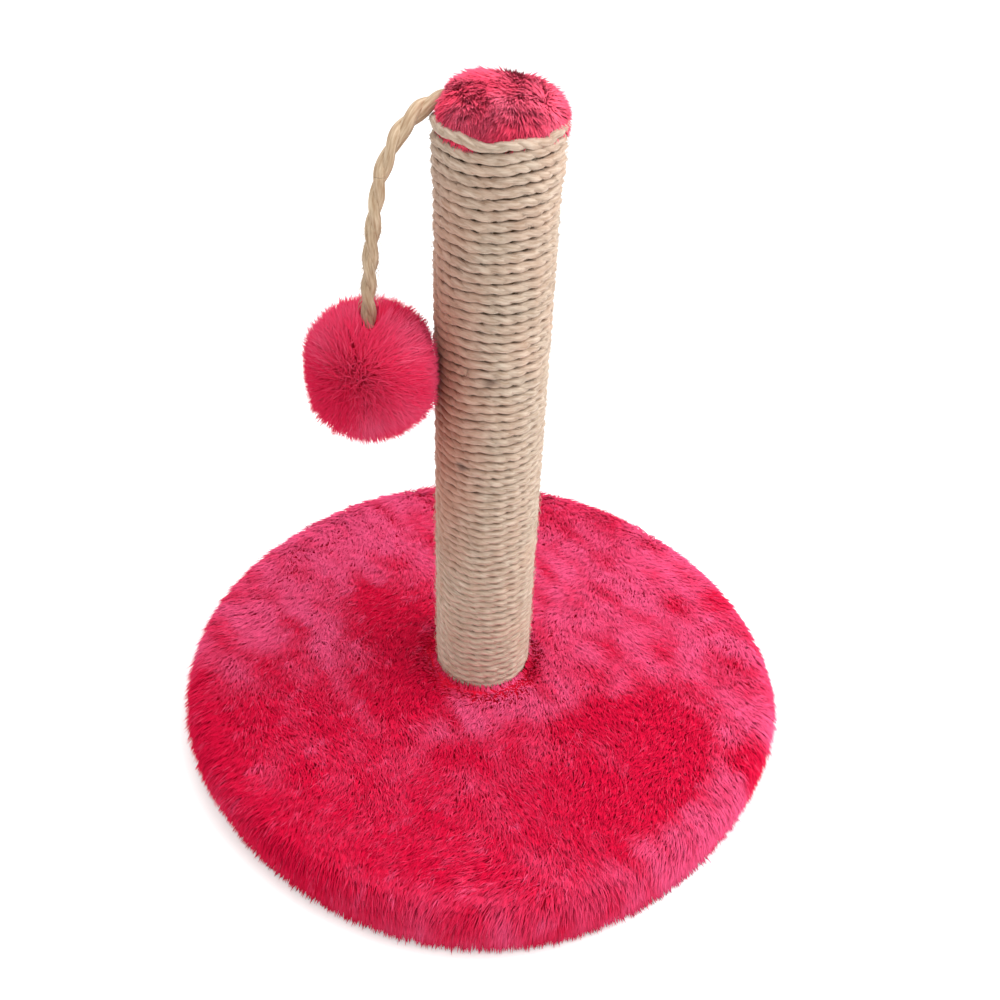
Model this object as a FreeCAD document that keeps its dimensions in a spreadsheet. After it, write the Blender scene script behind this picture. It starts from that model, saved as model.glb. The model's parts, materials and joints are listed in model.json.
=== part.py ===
import FreeCAD
import Part
import Sketcher
import math
import os

from FreeCAD import Placement, Rotation, Vector

# A free-standing scratching post: a plush-covered round base, a tube wound with twine, a plush cap
# and a pompom that hangs on a cord. Millimetres, +Z up. The origin is the middle of the underside,
# on the floor. The post stands a little behind the middle, and the pompom hangs on its -X side.

DRIVING_SIZES = {
    # base
    "board_radius": 175.0,
    "board_thickness": 15.0,
    "pile_thickness": 10.8,
    "side_thickness": 11.0,
    "cover_ease": 0.1,
    "top_edge_round": 10.0,
    "low_edge_round": 6.0,
    "hem_thickness": 2.4,
    "hem_width": 25.0,
    "lining_thickness": 0.8,
    "lining_overlap": 14.0,
    "lining_window_radius": 16.0,
    "crushed_pile": 3.0,
    # staples, one ring through the hem and one through the lining
    "staple_wire": 0.6,
    "staple_crown": 10.0,
    "staple_leg": 9.0,
    "staple_inset": 2.0,
    "staple_count": 16,
    # post
    "post_setback": 7.0,
    "tube_radius": 25.0,
    "tube_wall": 3.0,
    "tube_length": 348.0,
    "foot_plug_height": 25.0,
    "top_plug_height": 15.0,
    "plug_ease": 0.15,
    # fastening of the post to the board
    "bolt_radius": 4.0,
    "bolt_length": 40.0,
    "bolt_flats": 13.0,
    "bolt_head_height": 5.3,
    "bolt_end_chamfer": 0.8,
    "bolt_hole_play": 0.5,
    "washer_radius": 12.0,
    "washer_thickness": 1.6,
    "recess_play": 1.0,
    "recess_depth": 7.5,
    "tee_flange_radius": 11.0,
    "tee_flange_thickness": 1.4,
    "tee_barrel_wall": 1.2,
    "tee_barrel_depth": 9.0,
    "tee_prong_depth": 6.0,
    "tee_prong_width": 2.4,
    "tee_prong_thickness": 1.2,
    "tee_prong_count": 4,
    # nails through the tube's wall into its two plugs, and one through the cord's end
    "nail_radius": 0.8,
    "nail_length": 16.0,
    "nail_head_radius": 1.8,
    "nail_head_thickness": 0.6,
    "nail_count": 4,
    "clout_head_radius": 3.0,
    # twine
    "twine_diameter": 4.7,
    "twine_pitch": 5.2,
    "twine_ease": 0.1,
    "winding_loops": 24,
    "winding_top_rise": 2.2,
    "flare_run_in": 2.0,
    "recess_ease": 0.3,
    "tack_radius": 0.6,
    "tack_length": 10.0,
    "tack_head_radius": 1.6,
    "tack_head_thickness": 0.5,
    # cap
    "cap_disc_thickness": 4.0,
    "cap_screw_radius": 1.75,
    "cap_screw_length": 16.0,
    "cap_screw_head_radius": 3.6,
    "cap_screw_head_height": 2.2,
    "skirt_thickness": 0.8,
    "skirt_depth": 12.0,
    "cap_bulge_radius": 27.4,
    "cap_bulge_rise": 1.4,
    "cap_crown_rise": 12.0,
    # pompom and its cord
    "cord_diameter": 8.2,
    "cord_play": 0.3,
    "clout_inset": 5.0,
    "pompom_radius": 32.5,
    "pompom_gap": 0.5,
    "pompom_core_radius": 22.0,
    "knot_radius": 7.5,
    "knot_above_middle": 10.5,
}

WORKED_OUT = {
    # heights above the floor
    "board_bottom": "sizes.lining_thickness + sizes.hem_thickness",
    "board_top": "board_bottom + sizes.board_thickness",
    "pile_top": "board_top + sizes.pile_thickness",
    "tube_foot": "board_top + sizes.crushed_pile",
    "tube_top": "tube_foot + sizes.tube_length",
    "foot_plug_top": "tube_foot + sizes.foot_plug_height",
    "foot_nail_height": "tube_foot + sizes.foot_plug_height / 2",
    "top_plug_bottom": "tube_top - sizes.top_plug_height",
    "top_nail_height": "tube_top - sizes.top_plug_height / 2",
    "recess_top": "board_bottom + sizes.recess_depth",
    "washer_bottom": "recess_top - sizes.washer_thickness",
    "bolt_head_bottom": "washer_bottom - sizes.bolt_head_height",
    "bolt_shank": "sizes.bolt_length - sizes.bolt_end_chamfer",
    "bolt_chamfer_foot": "washer_bottom + bolt_shank",
    "tee_foot": "foot_plug_top - sizes.tee_barrel_depth",
    "cap_disc_top": "tube_top + sizes.cap_disc_thickness",
    "cap_screw_foot": "cap_disc_top - sizes.cap_screw_length",
    "cap_screw_neck": "cap_disc_top - sizes.cap_screw_head_height",
    "winding_top": "tube_top + sizes.winding_top_rise",
    "winding_foot": "winding_top - sizes.winding_loops * sizes.twine_pitch",
    "sleeve_top": "winding_foot - sizes.twine_pitch / 2",
    "foot_tack_height": "tube_foot + sizes.twine_pitch / 2",
    "rim_top": "winding_top + sizes.twine_diameter / 2",
    "skirt_bottom": "tube_top - sizes.skirt_depth",
    "bulge_height": "rim_top + sizes.cap_bulge_rise",
    "cap_top": "bulge_height + sizes.cap_crown_rise",
    # heights within one sub-part
    "sleeve_length": "sleeve_top - tube_foot",
    "tee_prong_foot": "sizes.tee_barrel_depth - sizes.tee_prong_depth",
    "tee_height": "sizes.tee_barrel_depth + sizes.tee_flange_thickness",
    "post_recess_depth": "sizes.pile_thickness - sizes.crushed_pile",
    # distances from an axis
    "plush_radius": "sizes.board_radius + sizes.side_thickness",
    "cover_inner": "sizes.board_radius + sizes.cover_ease",
    "hem_inner": "sizes.board_radius - sizes.hem_width",
    "lining_radius": "hem_inner + sizes.lining_overlap",
    "lining_pocket": "lining_radius + sizes.cover_ease",
    "staple_start": "hem_inner + sizes.staple_inset",
    "staple_end": "staple_start + sizes.staple_crown",
    "staple_inner_side": "staple_start + sizes.staple_wire",
    "staple_outer_side": "staple_end - sizes.staple_wire",
    "tube_bore": "sizes.tube_radius - sizes.tube_wall",
    "plug_radius": "tube_bore - sizes.plug_ease",
    "bolt_hole": "sizes.bolt_radius + sizes.bolt_hole_play",
    "bolt_end_radius": "sizes.bolt_radius - sizes.bolt_end_chamfer",
    "bolt_corner_radius": "sizes.bolt_flats / 2 / cos(30 deg)",
    "recess_radius": "sizes.washer_radius + sizes.recess_play",
    "tee_barrel_radius": "sizes.bolt_radius + sizes.tee_barrel_wall",
    "tee_prong_inner": "sizes.tee_flange_radius - sizes.tee_prong_thickness",
    "nail_neck": "sizes.tube_radius - sizes.nail_head_thickness",
    "nail_tip": "sizes.tube_radius - sizes.nail_length",
    "twine_radius": "sizes.twine_diameter / 2",
    "twine_inner": "sizes.tube_radius + sizes.twine_ease",
    "twine_outer": "twine_inner + sizes.twine_diameter",
    "skirt_inner": "sizes.tube_radius + sizes.cover_ease",
    "skirt_outer": "skirt_inner + sizes.skirt_thickness",
    "flared_outer": "skirt_outer + sizes.twine_ease + sizes.twine_diameter",
    "post_recess": "twine_outer + sizes.recess_ease",
    "cap_crown_radius": "sizes.cap_bulge_radius ^ 2 / (2 * sizes.cap_crown_rise) + sizes.cap_crown_rise / 2",
    "cord_radius": "sizes.cord_diameter / 2",
    "cord_bore": "cord_radius + sizes.cord_play",
    "knot_cavity": "sizes.knot_radius + sizes.cord_play",
    "knot_seat": "sqrt(sizes.knot_radius ^ 2 - cord_radius ^ 2)",
    "pompom_reach": "twine_outer + sizes.pompom_gap + sizes.pompom_radius",
}

# The pompom's cord, from its nailed end in the cap, as x, y and the height above the cap's disc. The
# arch is laid round a post of the radius below, and its x and y are from the post's axis. The
# hanging points have x and y from the pompom's own axis.
ROUTE_POST_RADIUS = 29.8
CORD_ARCH = [
    (0.0, 19.5, 4.4),
    (-14.5, 18.4, 5.4),
    (-26.2, 14.2, 7.5),
    (-36.7, 8.3, 5.1),
    (-44.6, 3.2, -1.0),
    (-50.4, 0.1, -10.0),
]
CORD_HANG = [
    (8.4, 0.0, -20.2),
    (6.3, 0.0, -30.1),
    (4.6, 0.0, -41.7),
    (2.0, 0.0, -61.7),
    (0.0, 0.0, -82.2),
    (0.0, 0.0, -102.2),
]
SWING_RUN_INDEX = 5
SWAY_RUN_INDEX = 6
ARC_SHARE = 0.45
HALF_TURN_COUNT = 2
SAMPLE_COUNT = 90
LEAST_TWINE_GAP = 0.4
SAME = 0.001

ORIGIN = Vector(0, 0, 0)
UP = Vector(0, 0, 1)
REAR = math.pi / 2

doc = FreeCAD.newDocument("scratching_post")


# ---- sizes ----------------------------------------------------------------------------------------

def fill_sheet(name, cells, formulas):
    """Write one named cell for each entry."""
    sheet = doc.addObject("Spreadsheet::Sheet", name)
    for row, (alias, content) in enumerate(cells.items(), start=1):
        sheet.set(f"A{row}", alias)
        sheet.set(f"B{row}", f"={content}" if formulas else str(content))
        sheet.setAlias(f"B{row}", alias)
    doc.recompute()
    return sheet


fill_sheet("sizes", DRIVING_SIZES, formulas=False)
fill_sheet("levels", WORKED_OUT, formulas=True)


def number(reference):
    """The number in the cell that a reference such as sizes.tube_radius names, or 0 for None."""
    if reference is None:
        return 0.0
    sheet_name, alias = reference.split(".")
    return float(doc.getObject(sheet_name).get(alias))


def bind(thing, **expressions):
    """Tie properties of an object to cells."""
    for name, expression in expressions.items():
        thing.setExpression(name, expression)
    return thing


def put(thing, x=None, y=None, z=None):
    """Tie an object's place to cells."""
    for axis, expression in (("x", x), ("y", y), ("z", z)):
        if expression is not None:
            thing.setExpression(f".Placement.Base.{axis}", expression)
    return thing


def put_on_post(thing, z=None):
    """Tie an object's place to the post's axis."""
    return put(thing, y="sizes.post_setback", z=z)


# ---- modelling helpers ------------------------------------------------------------------------------

def cylinder(name, radius, height):
    """A plain cylinder that follows the cells."""
    solid = doc.addObject("Part::Cylinder", name)
    return bind(solid, Radius=radius, Height=height)


def sphere(name, radius):
    """A plain sphere that follows the cells."""
    solid = doc.addObject("Part::Sphere", name)
    return bind(solid, Radius=radius)


def cut(name, base, *tools):
    """The base without each tool in turn; the last cut carries the sub-part's name."""
    for position, tool in enumerate(tools, start=1):
        is_last = position == len(tools)
        step = doc.addObject("Part::Cut", name if is_last else f"{name}_cut_{position}")
        step.Base = base
        step.Tool = tool
        base = step
    return base


def join(name, *pieces):
    """Touching solids as one."""
    joined = doc.addObject("Part::MultiFuse", name)
    joined.Shapes = list(pieces)
    joined.Refine = True
    return joined


def origin_part(body, role):
    """One of the body's own origin planes or axes."""
    return next(part for part in body.Origin.OriginFeatures if part.Role == role)


def new_sketch(body, name, plane, offset=None):
    """An empty sketch on one of the body's origin planes."""
    sketch = body.newObject("Sketcher::SketchObject", name)
    sketch.AttachmentSupport = (origin_part(body, plane), "")
    sketch.MapMode = "FlatFace"
    if offset is not None:
        sketch.setExpression(".AttachmentOffset.Base.z", offset)
    return sketch


def fix_point(sketch, geometry, end, x, y):
    """Tie a point of the sketch to two cells, where None puts it on the axis."""
    for direction, reference, axis in (("DistanceX", x, -2), ("DistanceY", y, -1)):
        if reference is None:
            sketch.addConstraint(Sketcher.Constraint("PointOnObject", geometry, end, axis))
            continue
        distance = Sketcher.Constraint(direction, -1, 1, geometry, end, number(reference))
        index = sketch.addConstraint(distance)
        sketch.setExpression(f"Constraints[{index}]", reference)


def draw_circle(sketch, radius, y=None):
    """A circle whose radius and middle follow the cells."""
    middle = Vector(0, number(y), 0)
    geometry = sketch.addGeometry(Part.Circle(middle, UP, number(radius)), False)
    index = sketch.addConstraint(Sketcher.Constraint("Radius", geometry, number(radius)))
    sketch.setExpression(f"Constraints[{index}]", radius)
    fix_point(sketch, geometry, 3, None, y)


def draw_outline(sketch, corners, arcs=None):
    """A closed outline, drawn anticlockwise; arcs maps a side's number to its radius."""
    arcs = arcs or {}
    points = [Vector(number(x), number(y), 0) for x, y in corners]
    ends = []
    for side, start in enumerate(points):
        end = points[(side + 1) % len(points)]
        if side not in arcs:
            sketch.addGeometry(Part.LineSegment(start, end), False)
            ends.append((1, 2))
            continue
        radius = number(arcs[side])
        half = (end - start) * 0.5
        rise = radius - math.sqrt(radius ** 2 - half.Length ** 2)
        crest = start + half + Vector(half.y, -half.x, 0).normalize() * rise
        sketch.addGeometry(Part.Arc(start, crest, end), False)
        index = sketch.addConstraint(Sketcher.Constraint("Radius", side, radius))
        sketch.setExpression(f"Constraints[{index}]", arcs[side])
        starts_first = sketch.getPoint(side, 1).distanceToPoint(start) < SAME
        ends.append((1, 2) if starts_first else (2, 1))
    for side, corner in enumerate(corners):
        before = (side - 1) % len(corners)
        joint = Sketcher.Constraint("Coincident", before, ends[before][1], side, ends[side][0])
        sketch.addConstraint(joint)
        fix_point(sketch, side, ends[side][0], *corner)


def pad(body, sketch, name, length, both_ways=False):
    """Raise a sketch."""
    feature = body.newObject("PartDesign::Pad", name)
    feature.Profile = sketch
    feature.Midplane = both_ways
    return bind(feature, Length=length)


def revolve(body, sketch, name, axis="V_Axis"):
    """Turn a sketch all the way round one of its own axes."""
    feature = body.newObject("PartDesign::Revolution", name)
    feature.Profile = sketch
    feature.ReferenceAxis = (sketch, [axis])
    feature.Angle = 360
    return feature


def pocket(body, sketch, name, depth=None, upwards=False):
    """Sink a sketch to a depth, or all the way through, and make sure that it cuts."""
    doc.recompute()
    before = body.Shape.Volume
    feature = body.newObject("PartDesign::Pocket", name)
    feature.Profile = sketch
    feature.Reversed = upwards
    if depth is None:
        feature.Type = "ThroughAll"
        feature.Midplane = True
    else:
        bind(feature, Length=depth)
    doc.recompute()
    if body.Shape.Volume > before - SAME:
        raise RuntimeError(f"{name} cuts nothing")
    return feature


def round_rims(body, name, radius, rim_radius, rim_height):
    """Round the body's circular edges of one radius at one height."""
    doc.recompute()
    solid = body.Tip
    rims = []
    for index, edge in enumerate(solid.Shape.Edges, start=1):
        if not isinstance(edge.Curve, Part.Circle):
            continue
        same_radius = abs(edge.Curve.Radius - number(rim_radius)) < SAME
        if same_radius and abs(edge.Curve.Center.z - number(rim_height)) < SAME:
            rims.append(f"Edge{index}")
    fillet = body.newObject("PartDesign::Fillet", name)
    fillet.Base = (solid, rims)
    return bind(fillet, Radius=radius)


def repeat_round(body, feature, name, count):
    """Repeat a feature evenly round the body's upright axis."""
    doc.recompute()
    pattern = body.newObject("PartDesign::PolarPattern", name)
    pattern.Originals = [feature]
    pattern.Axis = (origin_part(body, "Z_Axis"), [""])
    pattern.Angle = 360
    bind(pattern, Occurrences=count)
    body.Tip = pattern
    return pattern


def revolved_body(name, corners, arcs=None):
    """A body turned about its upright axis from an outline of radius and height."""
    body = doc.addObject("PartDesign::Body", name)
    sketch = new_sketch(body, f"{name}_outline", "XZ_Plane")
    draw_outline(sketch, corners, arcs)
    revolve(body, sketch, f"{name}_turned")
    return body


def worked_feature(name, shape):
    """A sub-part whose solid is worked out from a path about the post's axis."""
    feature = doc.addObject("Part::Feature", name)
    feature.Shape = shape
    return put_on_post(feature)


# ---- paths and tubes ----------------------------------------------------------------------------------

def arc_edge(start, corner, end):
    """The arc that leaves start towards corner and reaches end from corner."""
    weight = (end - start).Length / (2 * (corner - start).Length)
    middle = (start + corner * (2 * weight) + end) * (1 / (2 + 2 * weight))
    return Part.Arc(start, middle, end).toShape()


def biarc_edges(start, start_way, end, end_way):
    """Two tangent arcs between two points with given directions."""
    chord = end - start
    turn = 2 * (1 - start_way.dot(end_way))
    along = chord.dot(start_way + end_way)
    reach = (math.sqrt(along ** 2 + turn * chord.dot(chord)) - along) / turn
    first_corner = start + start_way * reach
    second_corner = end - end_way * reach
    meeting = (first_corner + second_corner) * 0.5
    return [arc_edge(start, first_corner, meeting), arc_edge(meeting, second_corner, end)]


def rounded_path(points):
    """Straight runs joined by arcs as large as the runs allow: line, arc, line and so on."""
    edges = []
    radii = []
    run_start = points[0]
    for before, corner, after in zip(points, points[1:], points[2:]):
        shorter = min((corner - before).Length, (after - corner).Length)
        arc_start = corner + (before - corner).normalize() * shorter * ARC_SHARE
        arc_end = corner + (after - corner).normalize() * shorter * ARC_SHARE
        edges.append(Part.LineSegment(run_start, arc_start).toShape())
        edges.append(arc_edge(arc_start, corner, arc_end))
        radii.append(edges[-1].Curve.Radius)
        run_start = arc_end
    edges.append(Part.LineSegment(run_start, points[-1]).toShape())
    return edges, radii


def stretch(edges, begin, finish):
    """The part of a path between two lengths along it."""
    kept = []
    passed = 0.0
    for edge in edges:
        low = max(begin - passed, 0.0)
        high = min(finish - passed, edge.Length)
        if high - low > SAME:
            first = edge.getParameterByLength(low)
            last = edge.getParameterByLength(high)
            kept.append(edge.Curve.toShape(first, last))
        passed += edge.Length
    return kept


def start_of(edges):
    """The first point of a path and the direction in which it leaves."""
    first = edges[0]
    return first.valueAt(first.FirstParameter), first.tangentAt(first.FirstParameter)


def tube_along(edges, radius, label):
    """A round tube along a path, compared with its section times its length."""
    start, way = start_of(edges)
    profile = Part.Wire(Part.Circle(start, way, radius).toShape())
    tube = Part.Wire(edges).makePipeShell([profile], True, False)
    expected = math.pi * radius ** 2 * sum(edge.Length for edge in edges)
    print(f"{label}: volume {tube.Volume:.1f}, section times length {expected:.1f}")
    return tube


def domed_tube(edges, radius, label):
    """A tube whose start is closed by a half ball that rolls on the hinge point."""
    start, way = start_of(edges)
    dome = Part.makeSphere(radius, start, way * -1, 0, 90, 360)
    return tube_along(edges, radius, label).fuse(dome).removeSplitter()


# ---- base ---------------------------------------------------------------------------------------------

def staple_ring(name, bottom, half_step=False):
    """Flat staples whose crowns lie along the radius and whose legs stand up into the board."""
    body = doc.addObject("PartDesign::Body", name)
    put(body, z=bottom)
    if half_step:
        body.setExpression(".Placement.Rotation.Angle", "180 deg / sizes.staple_count")
    sketch = new_sketch(body, f"{name}_outline", "XZ_Plane")
    draw_outline(sketch, [
        ("levels.staple_start", None),
        ("levels.staple_end", None),
        ("levels.staple_end", "sizes.staple_leg"),
        ("levels.staple_outer_side", "sizes.staple_leg"),
        ("levels.staple_outer_side", "sizes.staple_wire"),
        ("levels.staple_inner_side", "sizes.staple_wire"),
        ("levels.staple_inner_side", "sizes.staple_leg"),
        ("levels.staple_start", "sizes.staple_leg"),
    ])
    wire = pad(body, sketch, f"{name}_wire", "sizes.staple_wire", both_ways=True)
    repeat_round(body, wire, f"{name}_ring", "sizes.staple_count")
    return body


def make_base(hem_staples, lining_staples):
    """The board, its plush cover with the turned-under hem, and the lining under both."""
    board = doc.addObject("PartDesign::Body", "base_board_blank")
    put(board, z="levels.board_bottom")
    disc = new_sketch(board, "board_disc", "XY_Plane")
    draw_circle(disc, "sizes.board_radius")
    pad(board, disc, "board_plate", "sizes.board_thickness")
    hole = new_sketch(board, "board_bolt_hole", "XY_Plane")
    draw_circle(hole, "levels.bolt_hole", y="sizes.post_setback")
    pocket(board, hole, "board_bolt_bore")
    recess = new_sketch(board, "board_recess_circle", "XY_Plane")
    draw_circle(recess, "levels.recess_radius", y="sizes.post_setback")
    pocket(board, recess, "board_recess", depth="sizes.recess_depth", upwards=True)
    cut("base_board", board, hem_staples, lining_staples)

    plush = revolved_body("base_plush_blank", [
        ("levels.hem_inner", "sizes.lining_thickness"),
        ("levels.lining_pocket", "sizes.lining_thickness"),
        ("levels.lining_pocket", None),
        ("levels.plush_radius", None),
        ("levels.plush_radius", "levels.pile_top"),
        (None, "levels.pile_top"),
        (None, "levels.board_top"),
        ("levels.cover_inner", "levels.board_top"),
        ("levels.cover_inner", "levels.board_bottom"),
        ("levels.hem_inner", "levels.board_bottom"),
    ])
    round_rims(plush, "plush_top_edge", "sizes.top_edge_round", "levels.plush_radius", "levels.pile_top")
    round_rims(plush, "plush_low_edge", "sizes.low_edge_round", "levels.plush_radius", None)
    foot = new_sketch(plush, "plush_foot_circle", "XY_Plane", offset="levels.pile_top")
    draw_circle(foot, "levels.post_recess", y="sizes.post_setback")
    pocket(plush, foot, "plush_foot_recess", depth="levels.post_recess_depth")
    passage = new_sketch(plush, "plush_bolt_circle", "XY_Plane")
    draw_circle(passage, "levels.bolt_hole", y="sizes.post_setback")
    pocket(plush, passage, "plush_bolt_bore")
    cut("base_plush", plush, hem_staples, lining_staples)

    lining = doc.addObject("PartDesign::Body", "base_lining_blank")
    sheet = new_sketch(lining, "lining_disc", "XY_Plane")
    draw_circle(sheet, "levels.lining_radius")
    pad(lining, sheet, "lining_sheet", "sizes.lining_thickness")
    window = new_sketch(lining, "lining_window_circle", "XY_Plane")
    draw_circle(window, "sizes.lining_window_radius", y="sizes.post_setback")
    pocket(lining, window, "lining_window")
    cut("base_lining", lining, lining_staples)


def make_fastening():
    """The bolt and washer in the board's recess."""
    head = doc.addObject("Part::Prism", "bolt_head")
    head.Polygon = 6
    bind(head, Circumradius="levels.bolt_corner_radius", Height="sizes.bolt_head_height")
    put_on_post(head, z="levels.bolt_head_bottom")
    shank = cylinder("bolt_shank", "sizes.bolt_radius", "levels.bolt_shank")
    put_on_post(shank, z="levels.washer_bottom")
    chamfer = doc.addObject("Part::Cone", "bolt_chamfer")
    bind(chamfer, Radius1="sizes.bolt_radius", Radius2="levels.bolt_end_radius")
    bind(chamfer, Height="sizes.bolt_end_chamfer")
    put_on_post(chamfer, z="levels.bolt_chamfer_foot")
    join("base_bolt", head, shank, chamfer)

    ring = cylinder("washer_disc", "sizes.washer_radius", "sizes.washer_thickness")
    bore = cylinder("washer_bore", "levels.bolt_hole", "sizes.washer_thickness")
    for piece in (ring, bore):
        put_on_post(piece, z="levels.washer_bottom")
    cut("base_washer", ring, bore)


# ---- post ---------------------------------------------------------------------------------------------

def make_tee_nut():
    """The pronged nut in the foot plug's top, which the bolt is screwed into."""
    nut = revolved_body("foot_tee_nut", [
        ("sizes.bolt_radius", None),
        ("levels.tee_barrel_radius", None),
        ("levels.tee_barrel_radius", "sizes.tee_barrel_depth"),
        ("sizes.tee_flange_radius", "sizes.tee_barrel_depth"),
        ("sizes.tee_flange_radius", "levels.tee_height"),
        ("sizes.bolt_radius", "levels.tee_height"),
    ])
    put_on_post(nut, z="levels.tee_foot")
    sketch = new_sketch(nut, "tee_prong_outline", "XZ_Plane")
    draw_outline(sketch, [
        ("levels.tee_prong_inner", "levels.tee_prong_foot"),
        ("sizes.tee_flange_radius", "levels.tee_height"),
        ("levels.tee_prong_inner", "levels.tee_height"),
    ])
    prong = pad(nut, sketch, "tee_prong", "sizes.tee_prong_width", both_ways=True)
    repeat_round(nut, prong, "tee_prongs", "sizes.tee_prong_count")
    return nut


def nail_ring(name, height):
    """Nails driven inwards through the tube's wall, their heads flush with it."""
    body = doc.addObject("PartDesign::Body", name)
    put_on_post(body, z=height)
    sketch = new_sketch(body, f"{name}_outline", "XZ_Plane")
    draw_outline(sketch, [
        ("levels.nail_tip", None),
        ("sizes.tube_radius", None),
        ("sizes.tube_radius", "sizes.nail_head_radius"),
        ("levels.nail_neck", "sizes.nail_head_radius"),
        ("levels.nail_neck", "sizes.nail_radius"),
        ("levels.nail_tip", "sizes.nail_radius"),
    ])
    nail = revolve(body, sketch, f"{name}_nail", axis="H_Axis")
    repeat_round(body, nail, f"{name}_ring", "sizes.nail_count")
    return body


def make_tack(name, head_face, height):
    """A tack driven in from the rear, its head flush with the twine."""
    shank = cylinder(f"{name}_shank", "sizes.tack_radius", "sizes.tack_length")
    head = cylinder(f"{name}_head", "sizes.tack_head_radius", "sizes.tack_head_thickness")
    for piece in (shank, head):
        piece.Placement = Placement(ORIGIN, Rotation(Vector(1, 0, 0), 90))
        put(piece, y=f"sizes.post_setback + {head_face}", z=height)
    return join(name, shank, head)


def cord_route():
    """The cord's points from the post's axis, with heights above the floor."""
    disc_top = number("levels.cap_disc_top")
    reach = number("levels.pompom_reach")
    girth = number("levels.twine_outer") / ROUTE_POST_RADIUS
    points = [Vector(x * girth, y * girth, disc_top + z) for x, y, z in CORD_ARCH]
    points += [Vector(x - reach, y, disc_top + z) for x, y, z in CORD_HANG]
    return points


def make_cord_nail(route):
    """The nail that pins the cord's end to the cap's disc, head up on the cord."""
    way = (route[1] - route[0]).normalize()
    place = route[0] + way * number("sizes.clout_inset")
    head_top = place.z + number("levels.cord_radius") + number("sizes.nail_head_thickness")
    head = cylinder("cord_nail_head", "sizes.clout_head_radius", "sizes.nail_head_thickness")
    shank = cylinder("cord_nail_shank", "sizes.nail_radius", "sizes.nail_length")
    for piece, length in ((head, "sizes.nail_head_thickness"), (shank, "sizes.nail_length")):
        foot = Vector(place.x, place.y + number("sizes.post_setback"), head_top - number(length))
        piece.Placement = Placement(foot, Rotation())
    return join("cord_nail", head, shank)


def make_post(cord_nail, top_tack, foot_tack):
    """The tube, its two plugs and what holds them."""
    tee_nut = make_tee_nut()
    foot_nails = nail_ring("foot_plug_nails", "levels.foot_nail_height")
    top_nails = nail_ring("top_plug_nails", "levels.top_nail_height")

    foot_blank = cylinder("foot_plug_blank", "levels.plug_radius", "sizes.foot_plug_height")
    foot_bore = cylinder("foot_plug_bore", "levels.bolt_hole", "sizes.foot_plug_height")
    for piece in (foot_blank, foot_bore):
        put_on_post(piece, z="levels.tube_foot")
    cut("foot_plug", foot_blank, foot_bore, tee_nut, foot_nails, foot_tack)

    screw = revolved_body("cap_screw", [
        (None, "levels.cap_screw_foot"),
        ("sizes.cap_screw_radius", "levels.cap_screw_foot"),
        ("sizes.cap_screw_radius", "levels.cap_screw_neck"),
        ("sizes.cap_screw_head_radius", "levels.cap_disc_top"),
        (None, "levels.cap_disc_top"),
    ])
    put_on_post(screw)
    top_blank = cylinder("top_plug_blank", "levels.plug_radius", "sizes.top_plug_height")
    put_on_post(top_blank, z="levels.top_plug_bottom")
    cut("top_plug", top_blank, top_nails, screw, cord_nail)

    wall = cylinder("tube_wall", "sizes.tube_radius", "sizes.tube_length")
    bore = cylinder("tube_bore", "levels.tube_bore", "sizes.tube_length")
    for piece in (wall, bore):
        put_on_post(piece, z="levels.tube_foot")
    cut("post_tube", wall, bore, foot_nails, top_nails, foot_tack)

    disc = cylinder("cap_disc_blank", "sizes.tube_radius", "sizes.cap_disc_thickness")
    put_on_post(disc, z="levels.tube_top")
    cut("cap_disc", disc, screw, cord_nail, top_tack)


# ---- twine --------------------------------------------------------------------------------------------

def winding_point(loops):
    """The twine's middle after so many loops from the winding's foot."""
    skirt_reach = number("levels.twine_radius") - number("levels.skirt_bottom")
    flared_loops = (number("levels.winding_top") + skirt_reach) / number("sizes.twine_pitch")
    run_in_end = number("sizes.winding_loops") - flared_loops
    share = (loops - run_in_end) / number("sizes.flare_run_in") + 1
    share = min(max(share, 0.0), 1.0)
    flare = number("levels.flared_outer") - number("levels.twine_outer")
    radius = number("levels.twine_outer") - number("levels.twine_radius")
    radius += flare * share ** 2 * (3 - 2 * share)
    angle = REAR + math.tau * loops
    height = number("levels.winding_foot") + number("sizes.twine_pitch") * loops
    return Vector(radius * math.cos(angle), radius * math.sin(angle), height)


def winding_way(loops):
    """The twine's direction after so many loops."""
    step = SAME
    return (winding_point(loops + step) - winding_point(loops - step)).normalize()


def winding_path():
    """The wound twine's path, each half turn a biarc, with a straight end at each side."""
    loops = int(number("sizes.winding_loops"))
    stations = [step / HALF_TURN_COUNT for step in range(loops * HALF_TURN_COUNT + 1)]
    points = [winding_point(station) for station in stations]
    ways = [winding_way(station) for station in stations]
    lead = number("sizes.twine_diameter")
    edges = [Part.LineSegment(points[0] - ways[0] * lead, points[0]).toShape()]
    for index in range(len(points) - 1):
        edges += biarc_edges(points[index], ways[index], points[index + 1], ways[index + 1])
    edges.append(Part.LineSegment(points[-1], points[-1] + ways[-1] * lead).toShape())
    return edges


def least_gap(edges, diameter):
    """The least gap between a winding and itself, measured on points of its path."""
    wire = Part.Wire(edges)
    samples = wire.discretize(Number=SAMPLE_COUNT * int(number("sizes.winding_loops")))
    half_loop = SAMPLE_COUNT // 2
    least = math.inf
    for index, point in enumerate(samples):
        for other in samples[index + half_loop:index + 3 * half_loop]:
            least = min(least, point.distanceToPoint(other) - diameter)
    return least


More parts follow.
